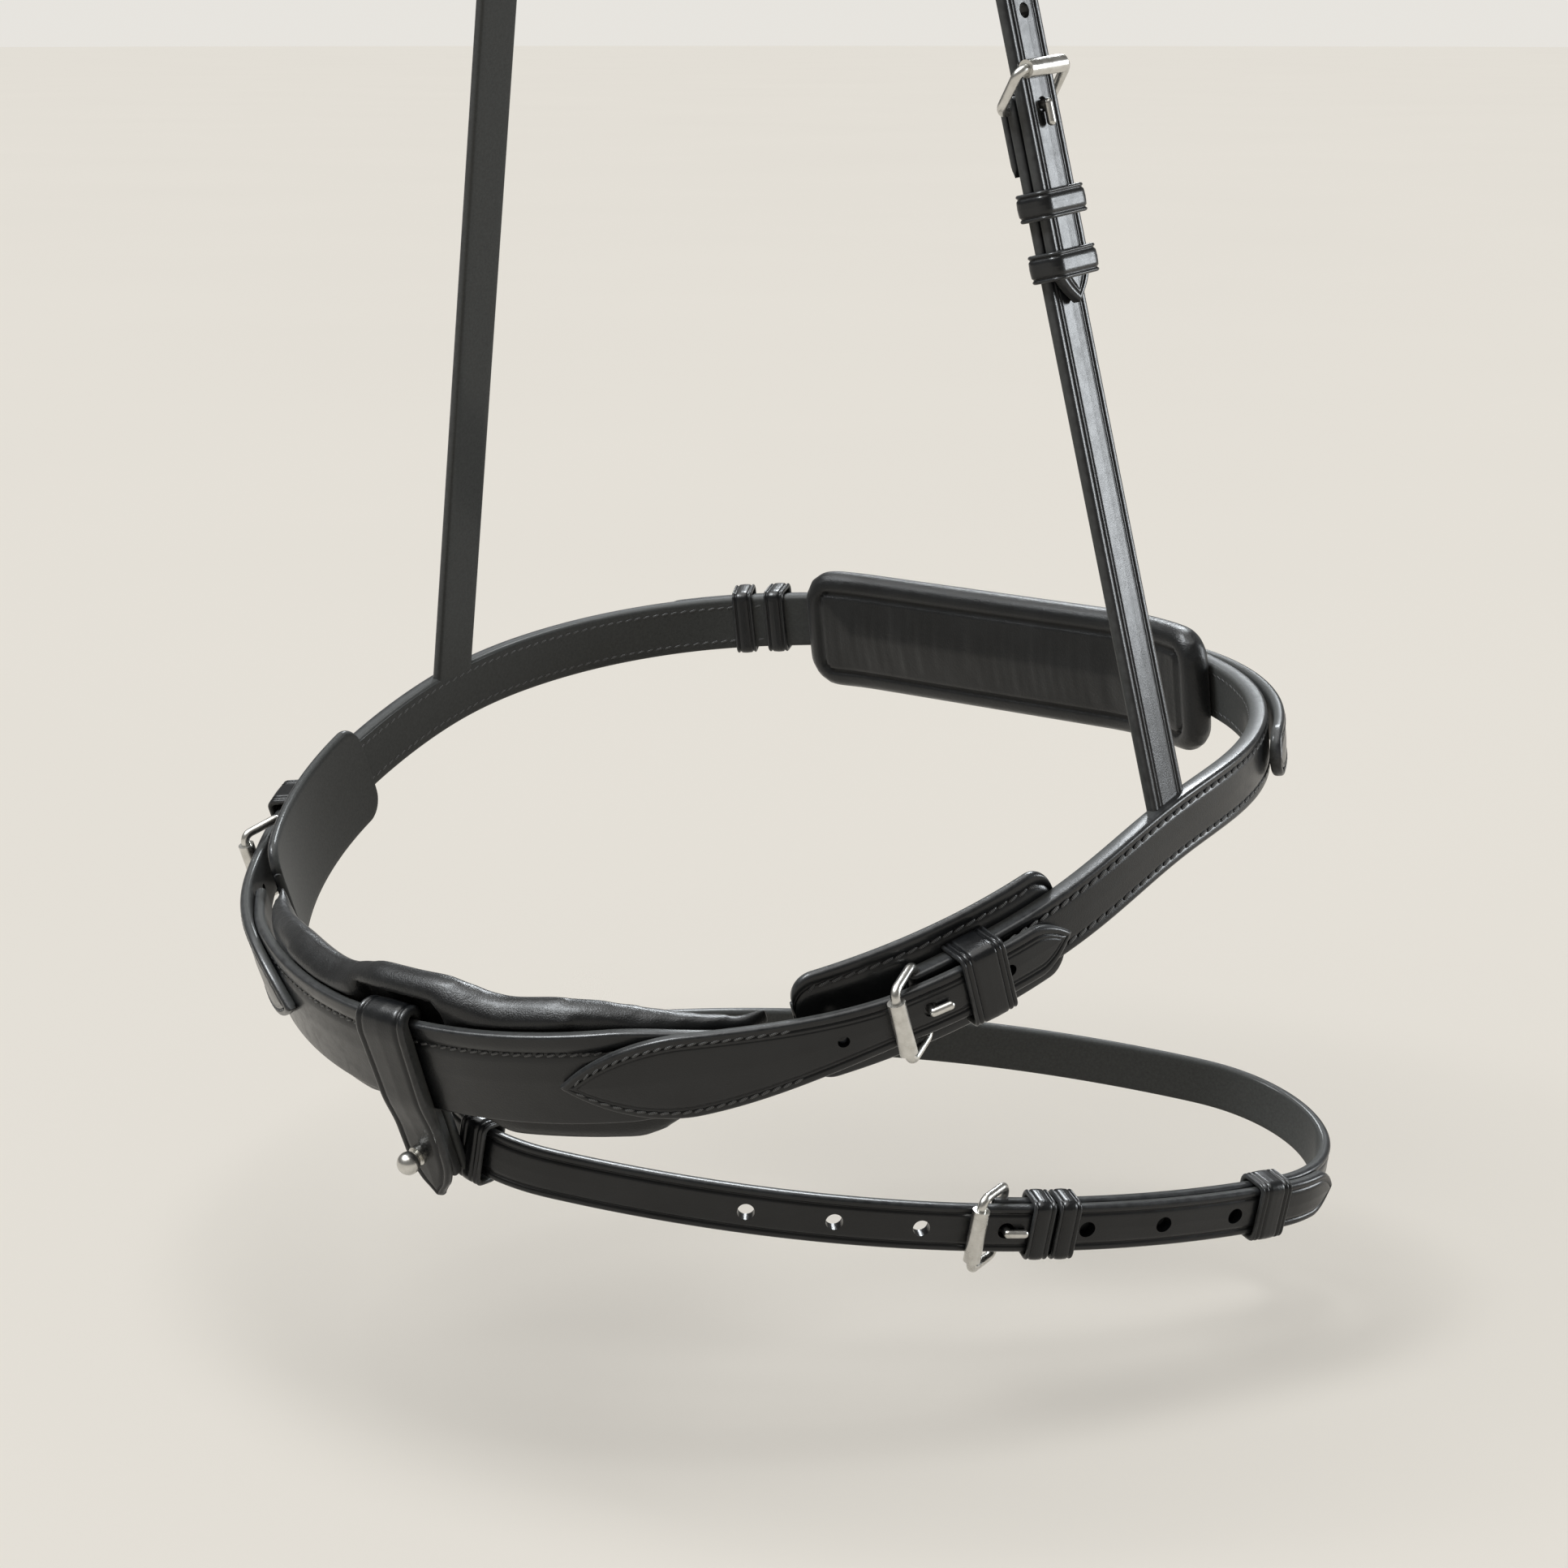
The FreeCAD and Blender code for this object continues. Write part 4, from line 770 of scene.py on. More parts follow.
def nose_billets():
    """The strap sewn on with a pointed leaf, running back through the buckle and the keeper to an oval tip."""
    radius = RING_R + STEP - 0.1
    reach = BILLET_END + math.degrees(BILLET_WIDTH / 2 / radius)
    base = close_tip(nose_arc(radius, BILLET_START, reach), 16, BILLET_TIP)
    s = lengths(base)
    width = leaf_width(s)
    tip = np.minimum(width, ogive_tip(s, BILLET_TIP, BILLET_WIDTH))
    width = np.maximum(np.where(s[-1] - s > BILLET_TIP, width, tip), THINNEST)
    head = nose_arc(radius, BILLET_START + LEAF_SEWN_FROM, BILLET_START + LEAF_SEWN_TO)
    row = leaf_width(lengths(head) + math.radians(LEAF_SEWN_FROM) * radius) / 2 - LEAF_SEWN_IN
    for tag, side in SIDES:
        path = sided(base, side)
        obj = strap("nose_billet_leather_" + tag, path, 0, BILLET_THICK, width, TRAMLINES, crown=0.2)
        punches = []
        for k in (-1, 0, 1):
            at, out, _, _ = nose_spot(radius, BUCKLE_ANGLE + BILLET_HOLE_STEP * k, side)
            punches.append(hole_tool(at, out, HOLE_R if k == 0 else BILLET_HOLE_R))
        pierce(obj, *punches)
        strap_piece(obj, "noseband", "nose_billet_" + tag)
        rows = two_rows(sided(head, side), np.maximum(row, 0.3), BILLET_THICK - 0.08, pitch=2.7)
        thread_piece(join("nose_billet_stitching_" + tag, *rows))


SIDE_START, SIDE_END = 58.9 + 0.5, 72.0


def side_path(start=SIDE_START, end=SIDE_END):
    """The side of the ring on the near side: nose arc, past the cheek strap, then round the rear corner."""
    run = joined(
        nose_arc(RING_R, start, 90),
        line(NOSE, (RING_R, RING_R, 0), (RING_R, JUNCTION, 0), X),
        line(REAR, (RING_R, 0, 0), (RING_R, REAR_SIDE, 0), X),
        arc(REAR, REAR_CENTRE, REAR_R, 0, end),
        smooth=41,
    )
    return soften(run, 29)


FOLD_R = 2.5
SLOT_SIZE = (3.2, 1.8, 3.0)


def side_bands():
    """Doubled band, two layers sewn along both edges, folded round the buckle at its front end."""
    base = dense_ends(side_path(), 3.0)
    shape = round_nose(base, FOLD_R)
    sewn = side_path(start=71.0, end=70.0)
    for tag, side in SIDES:
        path = sided(base, side)
        obj = strap("side_band_leather_" + tag, path, BAND_IN, BAND_OUT, BAND_WIDTH, BAND_LINE, thin=shape)
        at, out, across, along = nose_spot(RING_R + 2.2, BUCKLE_ANGLE - 0.4, side)
        pierce(obj, bar_tool(at, along, across, out, SLOT_SIZE))
        strap_piece(obj, "noseband", "side_band_" + tag)
        row = sided(sewn, side)
        rows = two_rows(row, 5.3, BAND_OUT - 0.18, pitch=3.5, size=1.25) + two_rows(row, 5.4, BAND_IN + 0.15)
        thread_piece(join("side_band_stitching_" + tag, *rows))


GUARD_LOW, GUARD_HIGH, GUARD_SEWN = -5.3, -2.5, -3.0
GUARD_SEAM_R = 2.9  # corner of the sewn line


def guards():
    """Padded flap behind each buckle: rounded ends, a thick sewn rim and a flat middle."""
    base = dense_ends(nose_arc(RING_R, GUARD_START, GUARD_END), GUARD_CORNER, 18)
    width = corner_width(base, GUARD_WIDTH, GUARD_CORNER)
    inner = nose_arc(RING_R, GUARD_START + 1.7, GUARD_END - 1.7)
    d = lengths(inner)
    rim = np.minimum(np.minimum(d, d[-1] - d) + 0.2, GUARD_SEAM_R)
    row = GUARD_WIDTH / 2 - GUARD_CORNER + round_width(GUARD_SEAM_R, rim) / 2
    z = np.linspace(-8.2, 8.2, 8)[:, None] * MM
    for tag, side in SIDES:
        name = "buckle_guard_leather_" + tag
        path = sided(base, side)
        obj = strap(name, path, GUARD_LOW, GUARD_HIGH, width, GUARD_LINE, crown=0.0, round_edge=1.3)
        strap_piece(obj, "noseband", "buckle_guard_" + tag)
        rows = two_rows(sided(inner, side), row, GUARD_SEWN, pitch=3.3, size=1.2)
        for degrees in (GUARD_START + 1.65, GUARD_END - 1.65):
            at, out, across, along = nose_spot(RING_R, degrees, side, 0.5)
            end = (at + z * across, np.tile(out, (8, 1)), np.tile(-along, (8, 1)))
            rows.append(stitches("row", end, 0.0, GUARD_SEWN, pitch=3.3, size=1.2))
        thread_piece(join("buckle_guard_stitching_" + tag, *rows))


def loop_path(plane, spot, half, low, high, open_inside):
    """Rounded rectangle round a strap, in samples of half a millimetre.

    spot is a point of the plane at offset nought, the direction away from the strap and the direction along it.
    half, low and high are where the middle of the keeper's wall runs. open_inside leaves the inner side out.
    """
    at, out, along = spot
    c = KEEPER_CORNER
    points, normals = [(-half, low if open_inside else (low + high) / 2)], [(-1, 0)]
    corners = [(-half + c, high - c, 180), (half - c, high - c, 90)]
    if not open_inside:
        corners += [(half - c, low + c, 0), (-half + c, low + c, 270)]
    for x, y, start in corners:
        for a in np.radians(np.linspace(start, start - 90, 7)):
            normals.append((math.cos(a), math.sin(a)))
            points.append((x + c * math.cos(a), y + c * math.sin(a)))
    points.append((half, low) if open_inside else points[0])
    normals.append((1, 0) if open_inside else normals[0])
    p, n = np.array(points, float), np.array(normals, float)
    s = distances(p)
    t = np.linspace(0, s[-1], int(s[-1] / 0.5) + 1)
    if not open_inside:
        t = t[:-1]
    p, n = sampled(p, s, t), unit(sampled(n, s, t))
    normal = n[:, :1] * Z + n[:, 1:] * out
    world = at + p[:, :1] * Z + p[:, 1:] * out
    return place(plane, world), normal @ plane[1].T, np.tile(plane[1] @ along, (len(t), 1))


KEEPER_LINES = ((1.0, 0.45, 0.3), (2.4, 0.45, 0.3))
NARROW_KEEPER, NARROW_LINE = 7.5, ((1.1, 0.45, 0.35),)


def keeper(name, body, node, plane, spot, half, low, high, width, open_inside=False, side=1):
    """A keeper of single leather: a loop with two pressed lines along each edge, or one where it is narrow."""
    path = sided(loop_path(plane, spot, half, low, high, open_inside), side)
    wall = KEEPER_WALL / 2
    lines = KEEPER_LINES if width > NARROW_KEEPER else NARROW_LINE
    obj = strap(name, path, -wall, wall, width, lines, crown=0.1, closed=not open_inside, round_edge=0.7)
    strap_piece(obj, body, node)


def arc_spot(centre, degrees, radius):
    """Point, outward and forward direction of an arc in its plane."""
    a = math.radians(degrees)
    out = np.array([math.cos(a), math.sin(a), 0])
    return centre + radius * out, out, np.array([-math.sin(a), math.cos(a), 0])


# Where the middle of a keeper's wall runs: out to the side, on the inner face and on the outer face.
NOSE_KEEPER_WALLS, CHIN_KEEPER_WALLS, CHEEK_KEEPER_WALLS = (9.1, -2.0, 7.1), (9.1, -3.6, 7.1), (8.1, -1.1, 7.4)
NOSE_KEEPER = (64.5, 69.8)
CHIN_KEEPERS = (("front", "chin_keeper_front", 55.0, 59.0), ("back", "noseband", 62.0, 66.0))


def ring_keepers():
    """Fixed and sliding keepers of the ring: two beside the nose buckles, two over the chin strap."""
    start, end = NOSE_KEEPER
    for tag, side in SIDES:
        keeper(
            "nose_keeper_leather_" + tag, "noseband", "nose_keeper_" + tag,
            NOSE, arc_spot(NOSE_CENTRE, (start + end) / 2 - 90, RING_R), *NOSE_KEEPER_WALLS,
            math.radians(end - start) * RING_R, open_inside=True, side=side,
        )
    for name, body, start, end in CHIN_KEEPERS:
        keeper(
            "chin_keeper_leather_" + name, body, "chin_keeper_" + name,
            REAR, arc_spot(REAR_CENTRE, (start + end) / 2, REAR_R), *CHIN_KEEPER_WALLS,
            math.radians(end - start) * (REAR_R + 4), side=-1,
        )


def chin_spot(x, offset):
    """Point of the straight run behind the chin, moved outwards by an offset, in the frame."""
    return place(REAR, np.array([[x, CHIN_Y + offset, 0]]))[0]


def chin_straps():
    """The off side chape that holds the chin buckle, and the billet that crosses behind the chin."""
    chape = dense_ends(joined(
        mirror(arc(REAR, REAR_CENTRE, REAR_R, 72.3, 90)),
        line(REAR, (-REAR_CENTRE[0], CHIN_Y, 0), (CHIN_BAR + 3.1, CHIN_Y, 0), Y),
    ), 2.8)
    shape = round_nose(chape, FOLD_R, False, True)
    obj = strap("chin_chape_leather", chape, BAND_IN, BAND_OUT, BAND_WIDTH, CHAPE_LINE, thin=shape)
    out = REAR[1] @ Y
    pierce(obj, bar_tool(chin_spot(CHIN_BAR + 1.0, 2.2), X, REAR[1] @ Z, out, SLOT_SIZE))
    strap_piece(obj, "noseband", "chin_chape")
    radius, y = REAR_R + LEATHER, CHIN_Y + LEATHER
    tip = math.degrees(CHIN_WIDTH / 2 / radius)
    run = dense_ends(joined(
        arc(REAR, REAR_CENTRE, radius, 26.0 - tip, 90),
        line(REAR, (REAR_CENTRE[0], y, 0), (-REAR_CENTRE[0], y, 0), Y),
        mirror(arc(REAR, REAR_CENTRE, radius, 90, 44.0 - tip)),
    ), CHIN_WIDTH / 2, 12)
    width = np.maximum(corner_width(run, CHIN_WIDTH, CHIN_WIDTH / 2), THINNEST)
    obj = strap("chin_billet_leather", run, 0.05, LEATHER, width, TRAMLINES)
    pierce(obj, *(hole_tool(chin_spot(CHIN_BAR + HOLE_PITCH * k, LEATHER), out) for k in (-1, 0, 1, 2)))
    strap_piece(obj, "noseband", "chin_billet")
    rows = two_rows(arc(REAR, REAR_CENTRE, radius, 23.5, 60), 4.9, LEATHER - 0.1)
    thread_piece(join("chin_billet_stitching", *rows))


# ------------------------------------------------------------------ sliphead
def leg_point(height, offset=0.0):
    """Point of the cheek line at a height above its foot, moved outwards by an offset."""
    foot = np.array([CHEEK_FOOT, 0, 0])
    return foot + np.array([-TAN_SLOPE * height, height, 0]) + LEG_NORMAL * offset


STRAP_FOOT, TURNBACK_FOOT = -2.0, 161.0  # heights at which the cheek straps and the turned back end begin


def cheek_strap():
    """Near cheek strap: up from between the layers of the side band to its buckle, folded round the bar."""
    path = dense_ends(line(HEAD, leg_point(STRAP_FOOT), leg_point(CHEEK_BAR + 3.2), LEG_NORMAL, 1.6), 2.6)
    shape = round_nose(path, 2.3, False, True)
    obj = strap("cheek_strap_leather_near", path, 0, LEATHER, CHEEK_WIDTH, TRAMLINES, thin=shape)
    at = place(HEAD, leg_point(CHEEK_BAR + 1.0, 2.0)[None])[0]
    up, across, out = HEAD[1] @ LEG_UP, HEAD[1] @ Z, HEAD[1] @ LEG_NORMAL
    pierce(obj, bar_tool(at, up, across, out, (3.4, 1.8, 3.5)))
    path = line(HEAD, leg_point(TURNBACK_FOOT), leg_point(CHEEK_BAR + 0.4), LEG_NORMAL)
    turned = strap("turnback", path, -2.0, -0.1, CHEEK_WIDTH - 0.3, thin=round_nose(path, 3.0))
    strap_piece(join(obj.name, obj, turned), "noseband", "cheek_strap_near")


CHEEK_TIP_LENGTH = 10.0


def headpiece():
    """Off cheek strap, over the poll and down the near side as a punched billet with an oval tip."""
    tip, step = CHEEK_TIP_LENGTH, 1.8
    off_top = np.array([0, POLL_HEIGHT, 0])
    near_top = np.array([STEP / COS_SLOPE, POLL_HEIGHT, 0])
    run = dense_ends(joined(
        mirror(line(HEAD, leg_point(STRAP_FOOT), off_top + ARCH_R * LEG_NORMAL, LEG_NORMAL, step)),
        mirror(arc(HEAD, off_top, ARCH_R, CHEEK_SLOPE, 90)),
        arc(HEAD, near_top, ARCH_R, 90, CHEEK_SLOPE),
        line(HEAD, near_top + ARCH_R * LEG_NORMAL, leg_point(CHEEK_TIP, STEP), LEG_NORMAL, step),
        step=step,
    ), tip, 16)
    width = np.maximum(ogive_tip(lengths(run), tip, CHEEK_WIDTH), THINNEST)
    obj = strap("headpiece_leather", run, 0, LEATHER, width, TRAMLINES)
    spots = [place(HEAD, leg_point(CHEEK_BAR + HOLE_PITCH * k, STEP)[None])[0] for k in (-1, 0, 1, 2)]
    pierce(obj, *(hole_tool(at, HEAD[1] @ LEG_NORMAL) for at in spots))
    strap_piece(obj, "noseband", "headpiece_strap")
    for name, body, low, high in (
        ("upper", "noseband", CHEEK_BAR - 26.5, CHEEK_BAR - 19.5),
        ("lower", "cheek_keeper_lower", CHEEK_TIP + 6.0, CHEEK_TIP + 13.0),
    ):
        spot = (leg_point((low + high) / 2), LEG_NORMAL, LEG_UP)
        keeper(
            "cheek_keeper_leather_" + name, body, "cheek_keeper_" + name,
            HEAD, spot, *CHEEK_KEEPER_WALLS, high - low,
        )


# ------------------------------------------------------------------ flash strap
FLASH_TIP = 9.0
FLASH_HOLE_STEP, FLASH_HOLE_R = 4.787, 2.2
# Name, body, node, angle on the front arc, and width.
FLASH_KEEPERS = (
    ("flash_keeper_leather_a", "flash_strap", "flash_keeper_a", -84.45, 6.0),
    ("flash_keeper_leather_b", "flash_strap", "flash_keeper_b", -82.95, 6.0),
    ("flash_slider_leather", "flash_slider", "flash_slider", -69.58, 10.0),
)
CARRIER_WIDTH, CARRIER_ROOM = 8.4, 0.75


def flash_strap():
    """The flash: one strap from its buckle round both ends of the loop and back over itself to an oval tip."""
    tip = TIP_ANGLE + math.degrees(FLASH_WIDTH / 2 / (END_R + STEP))
    run = joined(
        arc(FLASH, FRONT_CENTRE, SIDE_R, FLASH_BAR - 0.62, SWEEP - 90),
        arc(FLASH, RIGHT_CENTRE, END_R, SWEEP - 90, 90 - SWEEP),
        arc(FLASH, BACK_CENTRE, SIDE_R, 90 - SWEEP, 90 + SWEEP),
        arc(FLASH, LEFT_CENTRE, LEFT_R, 90 + SWEEP, 270 - SWEEP),
        arc(FLASH, FRONT_CENTRE, SIDE_R + STEP, -90 - SWEEP, SWEEP - 90),
        arc(FLASH, RIGHT_CENTRE, END_R + STEP, SWEEP - 90, tip),
        step=1.4,
    )
    run = dense_ends(soften(run, 5), FLASH_TIP, 16)
    width = np.maximum(ogive_tip(lengths(run), FLASH_TIP, FLASH_WIDTH), THINNEST)
    shape = round_nose(run, 2.3)
    obj = strap("flash_strap_leather", run, 0, LEATHER, width, SINGLE_LINE, thin=shape, crown=0.2)
    punches = []
    for k in range(-3, 4):
        rise, length = (1.5, 12.0) if k < 0 else (2.45, 5.4)
        at, out, _ = arc_spot(FRONT_CENTRE, FLASH_BAR + FLASH_HOLE_STEP * k, SIDE_R + STEP + rise)
        punches.append(hole_tool(place(FLASH, at[None])[0], FLASH[1] @ out, FLASH_HOLE_R, length))
    at, out, along = arc_spot(FRONT_CENTRE, FLASH_BAR - 0.1, SIDE_R + 2.0)
    at, along, across, out = place(FLASH, at[None])[0], FLASH[1] @ along, FLASH[1] @ Z, FLASH[1] @ out
    pierce(obj, *punches, bar_tool(at, along, across, out, (3.0, 1.8, 2.3)))
    strap_piece(obj, "flash_strap", "flash_strap")
    wall = KEEPER_WALL / 2
    half, low, high = FLASH_WIDTH / 2 + GAP + wall, -GAP - wall, 2 * LEATHER + 2 * GAP + wall
    for name, body, node, angle, wide in FLASH_KEEPERS:
        keeper(name, body, node, FLASH, arc_spot(FRONT_CENTRE, angle, SIDE_R), half, low, high, wide)
    keeper(
        "flash_carrier_leather", "nose_loop", "flash_carrier", FLASH, arc_spot(LEFT_CENTRE, CARRIER_ANGLE, LEFT_R),
        half + CARRIER_ROOM / 2, low - CARRIER_ROOM, LEATHER + GAP + wall + CARRIER_ROOM, CARRIER_WIDTH,
    )


TAB_BACK, TAB_FRONT, TAB_TOP = 1.55, -4.55, 12.7
TAB_START, TAB_TIP = -34, -39
# Depths below the middle of the face band, and half widths of the tab's front run there.
TAB_DEPTHS, TAB_HALVES = [-15.8, -6, 6, 20, 30, 37, 39], [8.6, 8.2, 7.8, 7.6, 7.2, 3.9, 0.15]


def level(path):
    """The same path with its width direction along x."""
    return path[0], path[1], np.tile(X, (len(path[0]), 1))


def nose_loop():
    """The tab that hangs the flash: up behind the band, over its top edge and down to a point in front."""
    step = 0.8
    mid, r = (TAB_BACK + TAB_FRONT) / 2, (TAB_BACK - TAB_FRONT) / 2
    up = line(NOSE, (0, TAB_BACK, TAB_START), (0, TAB_BACK, TAB_TOP), Y, step)
    a = np.radians(np.linspace(0, 180, 16))
    ring = np.stack([np.zeros(16), mid + r * np.cos(a), TAB_TOP + r * np.sin(a)], 1)
    normal = np.stack([np.zeros(16), np.cos(a), np.sin(a)], 1)
    over = place(NOSE, ring), normal @ NOSE[1].T
    down = line(NOSE, (0, TAB_FRONT, TAB_TOP), (0, TAB_FRONT, TAB_TIP), -Y, step)
    path = joined(level(up), level(over), level(down), step=step)
    s = lengths(path)
    back_run = s[-1] - (TAB_TOP - TAB_TIP)
    z = TAB_TOP - (s - back_run)
    width = 2 * np.interp(-z, TAB_DEPTHS, TAB_HALVES)
    width = np.where(s < back_run, 11 + 5.6 * ease(s, back_run - 18, back_run), width)
    width = np.convolve(np.pad(width, 3, "edge"), np.ones(7) / 7, "valid")
    swell = 1.3 * ease(s, back_run - 6, back_run + 3) * (1 - ease(-z, 8, 20))
    width = np.maximum(width, THINNEST)
    obj = strap("nose_loop_leather", path, -1.25, 1.25 + swell, width, SINGLE_LINE, crown=0.2)
    pack = level(line(NOSE, (0, 0.2, -13.4), (0, 0.2, -33.6), -Y, step))
    strap_piece(join(obj.name, obj, strap("filler", pack, 0.0, 3.4, 10.6)), "nose_loop", "nose_loop")


# ------------------------------------------------------------------ padding
SIM_SCALE = 10.0


# ------------------------------------------------------------------ padding
# The cloth works on a model ten times full size.
SIM_SCALE = 10.0
SIM_MM = MM * SIM_SCALE
VOXEL, PRESSURE, CLOTH_STEPS = 1.9, 3.0, 20


def flat_mesh(name, verts, faces):
    """A closed shape in flat pad space, millimetres: x along, y outwards, z up."""
    return make_object(name, np.asarray(verts) * MM * SIM_SCALE, faces)


def vertices(mesh):
    out = np.empty(len(mesh.vertices) * 3)
    mesh.vertices.foreach_get("co", out)
    return out.reshape(-1, 3)


def evened(mesh, points, rounds=6):
    """Smooths out the remesh steps: in each round a point goes halfway to the mean of its neighbours."""
    edge = np.empty(len(mesh.edges) * 2, int)
    mesh.edges.foreach_get("vertices", edge)
    a, b = edge.reshape(-1, 2).T
    near = (np.bincount(a, minlength=len(points)) + np.bincount(b, minlength=len(points)))[:, None]
    for _ in range(rounds):
        total = np.zeros_like(points)
        np.add.at(total, a, points[b])
        np.add.at(total, b, points[a])
        points = (points + total / near) / 2
    return points


def puffed(obj, held, cap):
    """Swells a flat pad: remesh, twenty steps of cloth under pressure with the sewn places held, one subdivision.

    held(points) gives 1 where the leather is sewn down and 0 where it is free; cap is how far a point may move.
    """
    remesh = obj.modifiers.new("Remesh", "REMESH")
    remesh.mode = "VOXEL"
    remesh.voxel_size = VOXEL * MM * SIM_SCALE
    start = vertices(baked(obj))
    pins = obj.vertex_groups.new(name="sewn")
    weight = held(start / SIM_MM).round(1)
    for share in np.unique(weight[weight > 0]):
        pins.add(np.nonzero(weight == share)[0].tolist(), float(share), "REPLACE")
    cloth = obj.modifiers.new("Cloth", "CLOTH")
    cloth.settings.vertex_group_mass = "sewn"
    cloth.settings.use_pressure = True
    cloth.settings.uniform_pressure_force = PRESSURE
    cloth.settings.effector_weights.gravity = 0
    cloth.settings.quality = 5
    cloth.point_cache.frame_start, cloth.point_cache.frame_end = 1, CLOTH_STEPS
    for step in range(CLOTH_STEPS):
        bpy.context.scene.frame_set(step + 1)
    mesh = evaluated(obj)
    obj.modifiers.clear()
    bpy.context.scene.frame_set(1)
    move = vertices(mesh) - start
    size = np.linalg.norm(move, axis=1, keepdims=True) + 1e-12
    limit = cap * MM * SIM_SCALE
    moved = start + move / size * limit * np.tanh(size / limit)
    mesh.vertices.foreach_set("co", moved.ravel())
    obj.data = mesh
    finer = obj.modifiers.new("Finer", "SUBSURF")
    finer.levels = finer.render_levels = 1
    mesh = baked(obj)
    return evened(mesh, vertices(mesh)) / SIM_MM


def smooth_shell(obj, points):
    """Writes new vertex places and marks the whole shell smooth."""
    mesh = obj.data
    mesh.vertices.foreach_set("co", points.ravel())
    mesh.update()
    bm = bmesh.new()
    bm.from_mesh(mesh)
    bmesh.ops.recalc_face_normals(bm, faces=bm.faces)
    bm.to_mesh(mesh)
    bm.free()
    mesh.polygons.foreach_set("use_smooth", np.ones(len(mesh.polygons), bool))
    for key in ("rim", "flesh"):
        mesh.attributes.new(key, "FLOAT", "POINT")


def bent(path, flat, middle):
    """Carries flat points onto a path: x is the distance from its middle, y the outward offset, z across it."""
    p, n, b = resampled(path, lengths(path), flat[:, 0] + middle)
    return p + (n * flat[:, 1:2] + b * flat[:, 2:3]) * MM


def ripple(x, z, seed, scale):
    """Slow uneven waves: a sum of sines with seeded directions and phases."""
    rng = np.random.default_rng(seed)
    total = 0
    for _ in range(7):
        a, b, phase = rng.normal(0, 1, 2).tolist() + [rng.uniform(0, 6.3)]
        total = total + np.sin((a * x + b * z) / scale + phase)
    return total / 7


PAD_R = REAR_R - 7.6
PAD_HALF_H, PAD_CORNER, PAD_HALF_T = 19.0, 10.0, 5.0
PAD_HELD, PAD_SEAM = 6.3, 6.0  # how far in the leather is sewn down, and how far in the seam shows
PAD_INNERMOST, PAD_OUTERMOST = -7.2, 4.75  # offsets that the pad stays between
PAD_SPARE = 6  # degrees of its path beyond each end of the pad
PAD_LONG, PAD_SHORT, PAD_ROUND = 110, 30, 15  # samples on a long side, a short side and a corner


def pad_path():
    """Middle surface of the chin pad, from its off side end to its near side end."""
    near, off = 82.0 - REAR_CENTRE[0], 66.0 - REAR_CENTRE[0]
    end = 90 - math.degrees(math.asin(near / PAD_R))
    begin = 90 - math.degrees(math.asin(off / PAD_R))
    y = REAR_SIDE + PAD_R
    return joined(
        mirror(arc(REAR, REAR_CENTRE, PAD_R, begin - PAD_SPARE, 90)),
        line(REAR, (-REAR_CENTRE[0], y, 0), (REAR_CENTRE[0], y, 0), Y),
        arc(REAR, REAR_CENTRE, PAD_R, 90, end - PAD_SPARE),
    )


def inset_from(x, z, half_l, half_h, corner):
    """Distance in from a rounded rectangle's outline: the usual box distance with round corners, sign changed."""
    qx, qz = np.abs(x) - (half_l - corner), np.abs(z) - (half_h - corner)
    outside = np.hypot(np.maximum(qx, 0), np.maximum(qz, 0))
    return corner - outside - np.minimum(np.maximum(qx, qz), 0)


def pad_outline(l, h, c):
    """Rounded rectangle; every ring of the pad has the same share of samples on each side and each corner."""
    u, v = l - c, h - c
    parts = []
    for start, end, centre, angle, samples in (
        ((-u, h), (u, h), (u, v), 90, PAD_LONG),
        ((l, v), (l, -v), (u, -v), 0, PAD_SHORT),
        ((u, -h), (-u, -h), (-u, -v), -90, PAD_LONG),
        ((-l, -v), (-l, v), (-u, v), 180, PAD_SHORT),
    ):
        start, end = np.array(start), np.array(end)
        parts.append(start + (end - start) * np.linspace(0, 1, samples, endpoint=False)[:, None])
        a = np.radians(angle - np.linspace(0, 90, PAD_ROUND, endpoint=False))
        parts.append(centre + c * np.stack([np.cos(a), np.sin(a)], 1))
    return np.concatenate(parts)


